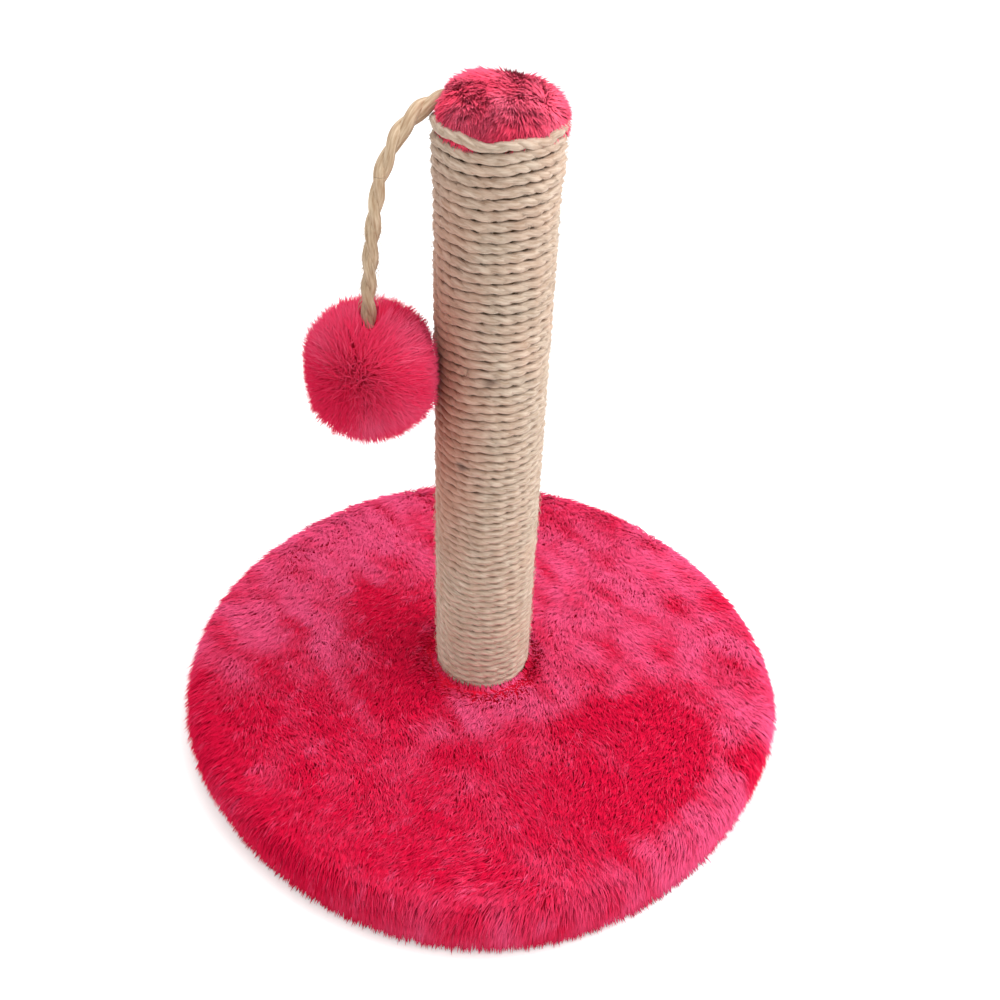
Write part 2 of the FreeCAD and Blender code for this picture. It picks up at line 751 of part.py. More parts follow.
def make_twine(top_tack, foot_tack):
    """The wound twine: its upper turns one by one, and the rest as a plain sleeve."""
    path = winding_path()
    gap = least_gap(path, number("sizes.twine_diameter"))
    print(f"twine: least gap between turns {gap:.2f}")
    if gap < LEAST_TWINE_GAP:
        raise RuntimeError("the turns of the winding are too close")
    turns = worked_feature("winding_turns", tube_along(path, number("levels.twine_radius"), "winding"))
    cut("twine_winding", turns, top_tack)

    outside = cylinder("sleeve_outside", "levels.twine_outer", "levels.sleeve_length")
    inside = cylinder("sleeve_inside", "levels.twine_inner", "levels.sleeve_length")
    for piece in (outside, inside):
        put_on_post(piece, z="levels.tube_foot")
    cut("twine_sleeve", outside, inside, foot_tack)

    tacks = doc.addObject("Part::Compound", "twine_tacks")
    tacks.Links = [top_tack, foot_tack]


# ---- cap, cord and pompom ------------------------------------------------------------------------------

def make_cord(route, cord_nail):
    """The cord in three stretches that meet at two hinge points, and the channel it lies in."""
    path, radii = rounded_path(route)
    print("cord: radii", " ".join(f"{radius:.1f}" for radius in radii))
    print("cord: runs", " ".join(f"{(b - a).Length:.1f}" for a, b in zip(route, route[1:])))
    lengths = [edge.Length for edge in path]
    whole = sum(lengths)
    print(f"cord: whole length {whole:.1f}")
    radius = number("levels.cord_radius")
    clear = radius + number("sizes.cord_play")

    swing_at = sum(lengths[:2 * SWING_RUN_INDEX]) + lengths[2 * SWING_RUN_INDEX] / 2
    sway_at = sum(lengths[:2 * SWAY_RUN_INDEX]) + lengths[2 * SWAY_RUN_INDEX] / 2
    upper = stretch(path, 0.0, swing_at - clear)
    link = stretch(path, swing_at, sway_at - clear)
    lower = stretch(path, sway_at, whole)
    for label, edges in (("swing", link), ("sway", lower)):
        hinge = start_of(edges)[0] + Vector(0, number("sizes.post_setback"), 0)
        print(f"{label} hinge at {hinge.x:.3f} {hinge.y:.3f} {hinge.z:.3f}")

    blank = worked_feature("cord_upper_blank", tube_along(upper, radius, "upper cord"))
    cut("toy_cord_upper", blank, cord_nail)
    worked_feature("toy_cord_link", domed_tube(link, radius, "cord link"))
    worked_feature("toy_cord_lower", domed_tube(lower, radius, "lower cord"))
    return worked_feature("cord_channel", tube_along(upper, number("levels.cord_bore"), "channel"))


def make_cap(channel, cord_nail, top_tack):
    """The plush cap, whose skirt is held under the twine's top turns."""
    cap = revolved_body("cap_plush_blank", [
        ("levels.skirt_inner", "levels.skirt_bottom"),
        ("levels.skirt_outer", "levels.skirt_bottom"),
        ("levels.skirt_outer", "levels.rim_top"),
        ("sizes.cap_bulge_radius", "levels.bulge_height"),
        (None, "levels.cap_top"),
        (None, "levels.cap_disc_top"),
        ("levels.skirt_inner", "levels.cap_disc_top"),
    ], arcs={3: "levels.cap_crown_radius"})
    put_on_post(cap)
    cut("cap_plush", cap, channel, cord_nail, top_tack)


def make_pompom(cord_end):
    """The knot on the cord's end and the plush ball that it holds."""
    knot_z = cord_end.z - number("levels.knot_seat")
    middle = Vector(cord_end.x, number("sizes.post_setback"), knot_z - number("sizes.knot_above_middle"))
    knot_place = Vector(middle.x, middle.y, knot_z)
    print(f"pompom middle at {middle.x:.3f} {middle.y:.3f} {middle.z:.3f}")

    knot = sphere("cord_knot", "sizes.knot_radius")
    bind(knot, Angle2="acos(levels.cord_radius / sizes.knot_radius)")
    cavity = sphere("knot_cavity", "levels.knot_cavity")
    for piece in (knot, cavity):
        piece.Placement = Placement(knot_place, Rotation())
    core_ball = sphere("core_ball", "sizes.pompom_core_radius")
    core_space = sphere("core_space", "sizes.pompom_core_radius")
    outer_ball = sphere("outer_ball", "sizes.pompom_radius")
    bore = cylinder("pompom_bore", "levels.cord_bore", "sizes.pompom_radius")
    for piece in (core_ball, core_space, outer_ball, bore):
        piece.Placement = Placement(middle, Rotation())
    core_bore = cylinder("core_bore", "levels.cord_bore", "sizes.pompom_radius")
    core_bore.Placement = Placement(knot_place, Rotation())
    cut("pompom_core", core_ball, cavity, core_bore)
    cut("pompom_plush", outer_ball, core_space, bore)


# ---- assembly and export -------------------------------------------------------------------------------

SUB_PARTS = [
    "base_board",
    "base_plush",
    "base_lining",
    "hem_staples",
    "lining_staples",
    "base_bolt",
    "base_washer",
    "foot_plug",
    "foot_tee_nut",
    "foot_plug_nails",
    "post_tube",
    "top_plug",
    "top_plug_nails",
    "twine_winding",
    "twine_sleeve",
    "twine_tacks",
    "cap_disc",
    "cap_screw",
    "cap_plush",
    "cord_nail",
    "toy_cord_upper",
    "toy_cord_link",
    "toy_cord_lower",
    "cord_knot",
    "pompom_core",
    "pompom_plush",
]


def export(name):
    """Check one sub-part and write its file."""
    sub_part = doc.getObject(name)
    sub_part.Label = name
    shape = sub_part.Shape
    if shape.isNull() or not shape.isValid():
        raise RuntimeError(f"{name} has no valid shape")
    box = shape.BoundBox
    print(
        f"{name}: solids {len(shape.Solids)}, volume {shape.Volume:.1f}, "
        f"x {box.XMin:.1f} {box.XMax:.1f}, y {box.YMin:.1f} {box.YMax:.1f}, z {box.ZMin:.1f} {box.ZMax:.1f}"
    )
    shape.exportStep(os.path.join("parts", f"{name}.step"))


def main():
    """Build every sub-part, check the document and write one file each."""
    hem_staples = staple_ring("hem_staples", "sizes.lining_thickness")
    lining_staples = staple_ring("lining_staples", None, half_step=True)
    make_base(hem_staples, lining_staples)
    make_fastening()
    route = cord_route()
    cord_nail = make_cord_nail(route)
    top_tack = make_tack("top_tack", "levels.flared_outer", "levels.winding_top")
    foot_tack = make_tack("foot_tack", "levels.twine_outer", "levels.foot_tack_height")
    make_post(cord_nail, top_tack, foot_tack)
    make_twine(top_tack, foot_tack)
    channel = make_cord(route, cord_nail)
    make_cap(channel, cord_nail, top_tack)
    make_pompom(route[-1])
    doc.recompute()
    for thing in doc.Objects:
        if "Invalid" in thing.State or "Error" in thing.State:
            raise RuntimeError(f"{thing.Name} did not build: {thing.State}")
    os.makedirs("parts", exist_ok=True)
    for name in SUB_PARTS:
        export(name)


main()
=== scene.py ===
import json
import logging
import math
from dataclasses import dataclass, field
from enum import Enum

import bmesh
import bpy
import numpy as np
from mathutils import Matrix, Vector


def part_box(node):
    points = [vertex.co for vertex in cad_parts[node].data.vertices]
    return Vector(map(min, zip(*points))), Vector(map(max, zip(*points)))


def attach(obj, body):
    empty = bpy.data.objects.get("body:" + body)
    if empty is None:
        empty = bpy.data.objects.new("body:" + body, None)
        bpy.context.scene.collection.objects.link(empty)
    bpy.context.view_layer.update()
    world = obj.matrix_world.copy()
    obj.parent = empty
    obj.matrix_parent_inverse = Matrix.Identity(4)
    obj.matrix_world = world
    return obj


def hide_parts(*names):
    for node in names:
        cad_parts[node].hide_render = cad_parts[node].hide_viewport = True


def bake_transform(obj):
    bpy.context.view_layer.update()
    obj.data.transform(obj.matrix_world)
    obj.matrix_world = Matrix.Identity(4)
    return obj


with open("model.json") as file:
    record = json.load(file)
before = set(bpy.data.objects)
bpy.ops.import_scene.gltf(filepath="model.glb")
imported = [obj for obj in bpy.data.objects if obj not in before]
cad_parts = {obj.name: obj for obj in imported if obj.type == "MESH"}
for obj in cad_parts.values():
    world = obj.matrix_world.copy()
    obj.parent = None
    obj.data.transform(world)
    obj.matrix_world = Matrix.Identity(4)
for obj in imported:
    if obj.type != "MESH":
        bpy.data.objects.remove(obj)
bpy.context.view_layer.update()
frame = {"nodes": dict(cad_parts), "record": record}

log = logging.getLogger("scratching_post")

MM = 0.001

Point = tuple[float, float, float]
Colour = tuple[float, float, float, float]
Socket = bpy.types.NodeSocket

# How far above the floor the lowest pile ends.
FLOOR_CLEAR = 0.0006

# Where the post stands and how high things are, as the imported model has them.
POST_X = 0.0
POST_Y = 0.007
DISC_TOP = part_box("cap_disc")[1][2]
TUBE_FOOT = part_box("post_tube")[0][2]
TUBE_RADIUS = (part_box("post_tube")[1][0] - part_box("post_tube")[0][0]) / 2
BASE_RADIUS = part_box("base_plush")[1][0]
PILE_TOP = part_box("base_plush")[1][2]
CAP_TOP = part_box("cap_plush")[1][2]
POMPOM_LOW = Vector(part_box("pompom_plush")[0])
POMPOM_HIGH = Vector(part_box("pompom_plush")[1])


def srgb(red: float, green: float, blue: float) -> Colour:
    """A colour given in display values from 0 to 255, as a linear colour.

    Args:
        red: Red from 0 to 255.
        green: Green from 0 to 255.
        blue: Blue from 0 to 255.

    Returns:
        The linear red, green and blue with full alpha.
    """
    channels = []
    for part in (red, green, blue):
        share = part / 255
        channels.append(share / 12.92 if share <= 0.04045 else ((share + 0.055) / 1.055) ** 2.4)
    return (channels[0], channels[1], channels[2], 1.0)


def unit(vectors: np.ndarray) -> np.ndarray:
    """The rows of an array, each made one long."""
    return vectors / np.maximum(np.linalg.norm(vectors, axis=1, keepdims=True), 1e-12)


def smooth_step(value: np.ndarray, low: float, high: float) -> np.ndarray:
    """A smooth rise from 0 at low to 1 at high."""
    share = np.clip((value - low) / (high - low), 0.0, 1.0)
    return share * share * (3 - 2 * share)


def level(angle: np.ndarray) -> np.ndarray:
    """Level unit vectors at some angles round the upright, in radians."""
    return np.stack((np.cos(angle), np.sin(angle), np.zeros_like(angle)), axis=1)


def square_to(vectors: np.ndarray, normals: np.ndarray) -> np.ndarray:
    """Vectors without what points along the unit vectors in the same rows."""
    return vectors - normals * np.sum(vectors * normals, axis=1)[:, None]


def travelled(line: np.ndarray) -> np.ndarray:
    """How far along a line of points each of them is, from 0."""
    return np.concatenate(([0.0], np.cumsum(np.linalg.norm(np.diff(line, axis=0), axis=1))))


def humps(azimuth: np.ndarray, rows: tuple[Point, ...]) -> np.ndarray:
    """Soft humps at some places round the upright.

    Args:
        azimuth: Where to read them, in degrees.
        rows: The middle and the spread of each in degrees, and its height.

    Returns:
        The humps' sum, one number for each azimuth.
    """
    total = np.zeros(len(azimuth))
    for middle, spread, height in rows:
        turn = (azimuth - middle + 180) % 360 - 180
        total += height * np.exp(-(turn / spread) ** 2)
    return total


@dataclass(frozen=True)
class Ripple:
    """A smooth random field in space, made of waves in many directions."""

    seed: int
    wavelength: float
    waves: int = 18

    def at(self, points: np.ndarray) -> np.ndarray:
        """The field at some points.

        Args:
            points: Rows of x, y and z in metres.

        Returns:
            One number for each point, mostly from -1 to 1.
        """
        random = np.random.default_rng(self.seed)
        directions = unit(random.normal(size=(self.waves, 3)))
        lengths = self.wavelength * random.uniform(0.7, 1.6, self.waves)
        phases = random.uniform(0, math.tau, self.waves)
        angles = points @ (directions / lengths[:, None]).T * math.tau + phases
        return np.sin(angles).sum(axis=1) / math.sqrt(self.waves / 2) * 0.75


# ---------------------------------------------------------------- materials

class Graph:
    """A material's or a group's nodes, with short calls to add and join them."""

    def __init__(self, tree: bpy.types.NodeTree) -> None:
        """Start with an empty tree."""
        self.tree = tree
        tree.nodes.clear()

    def add(self, kind: str, **settings: object) -> bpy.types.Node:
        """Add a node.

        Args:
            kind: The node's type.
            settings: Properties to set on it.

        Returns:
            The new node.
        """
        node = self.tree.nodes.new(kind)
        for name, value in settings.items():
            setattr(node, name, value)
        return node

    def join(self, source: Socket, target: Socket) -> None:
        """Link an output to an input."""
        self.tree.links.new(source, target)

    def math(self, operation: str, first: object, second: object = 0.0) -> Socket:
        """Combine two numbers.

        Args:
            operation: The operation's name.
            first: A socket or a number.
            second: A socket or a number.

        Returns:
            The result's socket.
        """
        node = self.add("ShaderNodeMath", operation=operation)
        for index, value in enumerate((first, second)):
            if isinstance(value, Socket):
                self.join(value, node.inputs[index])
            else:
                node.inputs[index].default_value = value
        return node.outputs[0]

    def mix(self, share: object, first: object, second: object) -> Socket:
        """Mix two colours.

        Args:
            share: A socket or a number from 0 to 1.
            first: A socket or a colour.
            second: A socket or a colour.

        Returns:
            The mixed colour's socket.
        """
        node = self.add("ShaderNodeMix", data_type="RGBA")
        for index, value in ((0, share), (6, first), (7, second)):
            if isinstance(value, Socket):
                self.join(value, node.inputs[index])
            else:
                node.inputs[index].default_value = value
        return node.outputs[2]

    def noise(self, place: Socket, scale: float, detail: float = 3.0) -> Socket:
        """A noise value over some coordinates.

        Args:
            place: The coordinates' socket.
            scale: How fine the noise is.
            detail: How many finer layers it has.

        Returns:
            The noise value's socket.
        """
        node = self.add("ShaderNodeTexNoise")
        node.inputs["Scale"].default_value = scale
        node.inputs["Detail"].default_value = detail
        self.join(place, node.inputs["Vector"])
        return node.outputs["Fac"]

    def stretch(self, value: Socket, low: float, high: float) -> Socket:
        """Stretch a range of a number to 0 to 1.

        Args:
            value: The number's socket.
            low: What becomes 0.
            high: What becomes 1.

        Returns:
            The stretched number's socket.
        """
        node = self.add("ShaderNodeMapRange", clamp=True)
        node.inputs["From Min"].default_value = low
        node.inputs["From Max"].default_value = high
        self.join(value, node.inputs["Value"])
        return node.outputs["Result"]

    def bump(self, height: Socket, strength: float, distance: float) -> Socket:
        """A bumped normal.

        Args:
            height: The height's socket.
            strength: The bump's strength.
            distance: The bump's depth in metres.

        Returns:
            The normal's socket.
        """
        node = self.add("ShaderNodeBump")
        node.inputs["Strength"].default_value = strength
        node.inputs["Distance"].default_value = distance
        self.join(height, node.inputs["Height"])
        return node.outputs["Normal"]

    def principled(self, numbers: dict[str, object]) -> bpy.types.Node:
        """Add the main shader.

        Args:
            numbers: What is the same all over the surface, by the socket's name.

        Returns:
            The shader's node.
        """
        node = self.add("ShaderNodeBsdfPrincipled")
        for name, number in numbers.items():
            node.inputs[name].default_value = number
        return node

    def put_out(self, shader: Socket) -> None:
        """Send a shader to the material's surface."""
        self.join(shader, self.add("ShaderNodeOutputMaterial").inputs["Surface"])


def new_material(name: str) -> tuple[bpy.types.Material, Graph]:
    """An empty material.

    Args:
        name: Its name.

    Returns:
        The material and its nodes.
    """
    material = bpy.data.materials.new(name)
    material.use_nodes = True
    return material, Graph(material.node_tree)


def fibre_group() -> bpy.types.NodeTree:
    """The streaks of fibres along a strand, as a group that the twine and the cord share.

    Returns:
        The group, with a streak mask, a stain mask and a height.
    """
    group = bpy.data.node_groups.get("fibre_streaks")
    if group:
        return group
    group = bpy.data.node_groups.new("fibre_streaks", "ShaderNodeTree")
    sockets = group.interface
    sockets.new_socket("Along", in_out="INPUT", socket_type="NodeSocketVector")
    sockets.new_socket("Place", in_out="INPUT", socket_type="NodeSocketVector")
    sockets.new_socket("Streak", in_out="OUTPUT", socket_type="NodeSocketFloat")
    sockets.new_socket("Stain", in_out="OUTPUT", socket_type="NodeSocketFloat")
    sockets.new_socket("Height", in_out="OUTPUT", socket_type="NodeSocketFloat")
    graph = Graph(group)
    given = graph.add("NodeGroupInput")
    given_out = graph.add("NodeGroupOutput")
    fine = graph.noise(given.outputs["Along"], 1.0, 4.0)
    stain = graph.noise(given.outputs["Place"], 45.0, 2.0)
    graph.join(graph.stretch(fine, 0.3, 0.72), given_out.inputs["Streak"])
    graph.join(graph.stretch(stain, 0.35, 0.75), given_out.inputs["Stain"])
    graph.join(fine, given_out.inputs["Height"])
    return group


@dataclass(frozen=True)
class PlushFinish:
    """Long soft pile: darker at its roots, paler where sheen is painted on, with painted highlight
    streaks on a few tips.
    """

    name: str
    root: Colour
    body: Colour
    painted_sheen: Colour
    glint: Colour

    def material(self) -> bpy.types.Material:
        """Make the pile's material.

        Returns:
            The material, which reads the pile's own attribute.
        """
        material, graph = new_material(self.name)
        pile = graph.add("ShaderNodeAttribute", attribute_name="pile")
        parts = graph.add("ShaderNodeSeparateColor")
        graph.join(pile.outputs["Color"], parts.inputs[0])
        along, chance, painted_sheen = parts.outputs[0], parts.outputs[1], parts.outputs[2]
        place = graph.add("ShaderNodeTexCoord").outputs["Object"]
        mottle = graph.stretch(graph.noise(place, 90.0, 3.0), 0.3, 0.7)
        rise = graph.math("POWER", along, 0.7)
        tone = graph.mix(rise, self.root, self.body)
        # Painted sheen: the pile's third channel sets how far it is painted paler, as pile lying another
        # way would catch the light; less towards the roots.
        patchy = graph.math("ADD", graph.math("MULTIPLY", mottle, 0.4), 0.85)
        swept = graph.math("MULTIPLY", painted_sheen, patchy)
        outer = graph.math("ADD", graph.math("MULTIPLY", along, 0.35), 0.65)
        swept = graph.math("MULTIPLY", swept, outer)
        tone = graph.mix(graph.math("MINIMUM", swept, 1.0), tone, self.painted_sheen)
        # Painted highlight streaks, in the glint colour, on the outer parts of a few tufts.
        streak = graph.math("MULTIPLY", graph.stretch(chance, 0.9, 1.0), along)
        tone = graph.mix(graph.math("MULTIPLY", streak, 0.35), tone, self.glint)
        shade = graph.add("ShaderNodeHueSaturation")
        graph.join(graph.math("ADD", graph.math("MULTIPLY", chance, 0.10), 0.94), shade.inputs["Value"])
        graph.join(tone, shade.inputs["Color"])
        surface = graph.principled({
            "Roughness": 0.75, "Specular IOR Level": 0.12,
            "Sheen Weight": 0.12, "Sheen Roughness": 0.45, "Sheen Tint": self.glint})
        graph.join(shade.outputs["Color"], surface.inputs["Base Color"])
        graph.put_out(surface.outputs[0])
        return material


@dataclass(frozen=True)
class BackingFinish:
    """The knitted cloth that the pile grows from."""

    name: str
    dark: Colour
    light: Colour

    def material(self) -> bpy.types.Material:
        """Make the backing's material.

        Returns:
            The material.
        """
        material, graph = new_material(self.name)
        place = graph.add("ShaderNodeTexCoord").outputs["Object"]
        coarse = graph.stretch(graph.noise(place, 110.0, 4.0), 0.3, 0.7)
        fine = graph.noise(place, 900.0, 2.0)
        surface = graph.principled({"Roughness": 0.85, "Specular IOR Level": 0.2})
        graph.join(graph.mix(coarse, self.dark, self.light), surface.inputs["Base Color"])
        graph.join(graph.bump(fine, 0.6, 0.0008), surface.inputs["Normal"])
        graph.put_out(surface.outputs[0])
        return material


@dataclass(frozen=True)
class TintSpot:
    """A soft-edged spot of another colour, its place and half sizes in millimetres."""

    place: Point
    reach: Point
    colour: Colour
    strength: float

    def over(self, graph: Graph, where: Socket, tone: Socket) -> Socket:
        """Lay the spot over a colour.

        Args:
            graph: The material's nodes.
            where: The object coordinates' socket.
            tone: The colour's socket.

        Returns:
            The new colour's socket.
        """
        scale = [1 / (size * MM) for size in self.reach]
        mapping = graph.add("ShaderNodeMapping")
        mapping.inputs["Scale"].default_value = scale
        shift = [-at * MM * size for at, size in zip(self.place, scale)]
        mapping.inputs["Location"].default_value = shift
        graph.join(where, mapping.inputs["Vector"])
        round_spot = graph.add("ShaderNodeTexGradient", gradient_type="SPHERICAL")
        graph.join(mapping.outputs[0], round_spot.inputs[0])
        share = graph.math("MULTIPLY", graph.stretch(round_spot.outputs["Fac"], 0.0, 0.7), self.strength)
        return graph.mix(share, tone, self.colour)


@dataclass(frozen=True)
class TwineFinish:
    """Natural fibre yarn: pale fibres, darker between them, with warmer stains."""

    name: str
    pale: Colour
    deep: Colour
    stain: Colour
    across: float
    along: float
    tint_spots: tuple[TintSpot, ...] = ()

    def material(self) -> bpy.types.Material:
        """Make the yarn's material.

        Returns:
            The material, whose streaks follow the strand's own map.
        """
        material, graph = new_material(self.name)
        coordinates = graph.add("ShaderNodeTexCoord")
        mapping = graph.add("ShaderNodeMapping")
        mapping.inputs["Scale"].default_value = (self.across, self.along, 1.0)
        graph.join(coordinates.outputs["UV"], mapping.inputs["Vector"])
        fibres = graph.add("ShaderNodeGroup", node_tree=fibre_group())
        graph.join(mapping.outputs[0], fibres.inputs["Along"])
        graph.join(coordinates.outputs["Object"], fibres.inputs["Place"])
        tone = graph.mix(fibres.outputs["Streak"], self.deep, self.pale)
        tone = graph.mix(graph.math("MULTIPLY", fibres.outputs["Stain"], 0.35), tone, self.stain)
        # Lay on the spots: the painted reflection, the painted shade and the dark spot.
        for tint_spot in self.tint_spots:
            tone = tint_spot.over(graph, coordinates.outputs["Object"], tone)
        surface = graph.principled({"Roughness": 0.78, "Specular IOR Level": 0.25, "Sheen Weight": 0.15})
        graph.join(tone, surface.inputs["Base Color"])
        graph.join(graph.bump(fibres.outputs["Height"], 0.7, 0.0006), surface.inputs["Normal"])
        graph.put_out(surface.outputs[0])
        return material


class Grain(Enum):
    """How the pattern of a hidden piece runs."""

    CHIPS = "chips"
    WOOD = "wood"
    PAPER = "paper"
    METAL = "metal"
    FELT = "felt"


@dataclass(frozen=True)
class PlainFinish:
    """A hidden or small piece's finish: two tones in one of a few patterns."""

    name: str
    dark: Colour
    light: Colour
    grain: Grain
    roughness: float = 0.7
    metallic: float = 0.0

    def material(self) -> bpy.types.Material:
        """Make the material.

        Returns:
            The material.
        """
        material, graph = new_material(self.name)
        place = graph.add("ShaderNodeTexCoord").outputs["Object"]
        mapping = graph.add("ShaderNodeMapping")
        graph.join(place, mapping.inputs["Vector"])
        scales = {
            Grain.CHIPS: (420.0, 420.0, 900.0),
            Grain.WOOD: (300.0, 300.0, 24.0),
            Grain.PAPER: (60.0, 60.0, 160.0),
            Grain.METAL: (700.0, 700.0, 260.0),
            Grain.FELT: (520.0, 520.0, 520.0),
        }
        mapping.inputs["Scale"].default_value = scales[self.grain]
        pattern = graph.noise(mapping.outputs[0], 1.0, 4.0)
        wear = graph.stretch(graph.noise(place, 60.0, 3.0), 0.35, 0.75)
        share = graph.math("ADD", graph.math("MULTIPLY", graph.stretch(pattern, 0.3, 0.7), 0.75),
                           graph.math("MULTIPLY", wear, 0.25))
        surface = graph.principled({"Metallic": self.metallic})
        rough = graph.math("ADD", graph.math("MULTIPLY", pattern, 0.2), self.roughness - 0.1)
        graph.join(rough, surface.inputs["Roughness"])
        graph.join(graph.mix(share, self.dark, self.light), surface.inputs["Base Color"])
        graph.join(graph.bump(pattern, 0.35, 0.0004), surface.inputs["Normal"])
        graph.put_out(surface.outputs[0])
        return material


# Each pile's colours: root, body, painted sheen and painted highlight.
CRIMSON_PILE = PlushFinish(
    "crimson_pile", srgb(222, 4, 54), srgb(230, 4, 64), srgb(252, 88, 138), srgb(255, 118, 160))
CAP_PILE = PlushFinish(
    "cap_pile", srgb(244, 54, 86), srgb(250, 70, 104), srgb(253, 108, 138), srgb(254, 134, 160))
POMPOM_PILE = PlushFinish(
    "pompom_pile", srgb(242, 22, 68), srgb(248, 36, 86), srgb(253, 88, 128), srgb(254, 126, 158))
CRIMSON_BACKING = BackingFinish("crimson_backing", srgb(206, 4, 48), srgb(232, 8, 58))
CAP_BACKING = BackingFinish("cap_backing", srgb(226, 42, 76), srgb(244, 60, 96))
POMPOM_BACKING = BackingFinish("pompom_backing", srgb(214, 16, 58), srgb(238, 26, 74))
# Spots on the twine: painted red reflection from the pompom on the post's left; a small dark spot lower
# down; painted shade in a gap between turns by the pompom.
TWINE_SPOTS_AND_PAINTED_LIGHT = (
    TintSpot((-40.0, 0.0, 232.0), (42.0, 42.0, 150.0), srgb(180, 112, 92), 0.85),
    TintSpot((-21.6, -13.8, 200.0), (5.0, 5.0, 3.2), srgb(92, 72, 66), 0.85),
    TintSpot((-8.3, -21.8, 256.0), (5.5, 5.5, 2.6), srgb(112, 88, 76), 0.75),
)
POST_TWINE = TwineFinish(
    "post_twine", srgb(216, 200, 182), srgb(162, 138, 117), srgb(196, 154, 130),
    900.0, 160.0, TWINE_SPOTS_AND_PAINTED_LIGHT)
JUTE_CORD = TwineFinish(
    "jute_cord", srgb(216, 196, 168), srgb(156, 126, 96), srgb(184, 144, 110), 900.0, 120.0)
FIBREBOARD = PlainFinish("fibreboard", srgb(150, 116, 80), srgb(196, 164, 124), Grain.CHIPS)
SOFTWOOD = PlainFinish("softwood", srgb(186, 146, 98), srgb(226, 194, 146), Grain.WOOD)
PAPER_TUBE = PlainFinish("paper_tube", srgb(136, 106, 78), srgb(178, 148, 116), Grain.PAPER, 0.8)
WIRE_STEEL = PlainFinish("wire_steel", srgb(150, 150, 152), srgb(196, 196, 198), Grain.METAL, 0.35, 1.0)
ZINC_STEEL = PlainFinish("zinc_steel", srgb(160, 163, 168), srgb(206, 209, 214), Grain.METAL, 0.38, 1.0)
DUST_CLOTH = PlainFinish("dust_cloth", srgb(22, 22, 24), srgb(52, 52, 56), Grain.FELT, 0.9)
STUFFING = PlainFinish("stuffing", srgb(214, 212, 206), srgb(244, 243, 240), Grain.FELT, 0.9)

HIDDEN_FINISHES = {
    FIBREBOARD: ("base_board", "cap_disc"),
    SOFTWOOD: ("foot_plug", "top_plug"),
    PAPER_TUBE: ("post_tube",),
    WIRE_STEEL: (
        "hem_staples", "lining_staples", "foot_plug_nails", "top_plug_nails", "twine_tacks", "cord_nail"),
    ZINC_STEEL: ("base_bolt", "base_washer", "foot_tee_nut", "cap_screw"),
    DUST_CLOTH: ("base_lining",),
}


def dress_hidden_nodes() -> None:
    """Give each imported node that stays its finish."""
    for finish, nodes in HIDDEN_FINISHES.items():
        material = finish.material()
        for node in nodes:
            shown = frame["nodes"][node]
            shown.data.materials.clear()
            shown.data.materials.append(material)
    log.info("hidden pieces dressed: %d", sum(len(nodes) for nodes in HIDDEN_FINISHES.values()))


# ---------------------------------------------------------------- pieces

def new_piece(name: str, mesh: bpy.types.Mesh, material: bpy.types.Material) -> bpy.types.Object:
    """Put a mesh into the scene.

    Args:
        name: The piece's name.
        mesh: Its mesh.
        material: Its finish.

    Returns:
        The new object, at the origin.
    """
    piece = bpy.data.objects.new(name, mesh)
    mesh.materials.clear()
    mesh.materials.append(material)
    bpy.context.scene.collection.objects.link(piece)
    log.info("%s: %d faces", name, len(mesh.polygons))
    return piece


def made_mesh(name: str, shape: bmesh.types.BMesh) -> bpy.types.Mesh:
    """A mesh of a finished shape.

    Args:
        name: The mesh's name.
        shape: The shape, which is freed.

    Returns:
        The mesh.
    """
    mesh = bpy.data.meshes.new(name)
    shape.to_mesh(mesh)
    shape.free()
    return mesh


def places_of(mesh: bpy.types.Mesh) -> np.ndarray:
    """A mesh's points as rows of x, y and z.

    Args:
        mesh: The mesh to read.

    Returns:
        The rows.
    """
    places = np.empty(len(mesh.vertices) * 3)
    mesh.vertices.foreach_get("co", places)
    return places.reshape(-1, 3)


def shade_smooth(mesh: bpy.types.Mesh) -> None:
    """Shade every face of a mesh smooth."""
    mesh.polygons.foreach_set("use_smooth", np.ones(len(mesh.polygons), dtype=bool))


def twisted_pair(line: np.ndarray, side: np.ndarray, turn: np.ndarray, offset: float,
                 start: float = 0.0) -> list[np.ndarray]:
    """The middle lines of two plies that are twisted round a line.

    Args:
        line: Rows of x, y and z.
        side: A unit vector square to the line at each row.
        turn: How far the plies have turned at each row, in radians.
        offset: How far each ply's middle is from the line.
        start: The first ply's turn at the line's start.

    Returns:
        Two arrays of points.
    """
    up = np.cross(unit(np.gradient(line, axis=0)), side)
    lines = []
    for phase in (start, start + math.pi):
        swing = np.cos(turn + phase)[:, None] * side + np.sin(turn + phase)[:, None] * up
        lines.append(line + swing * offset)
    return lines


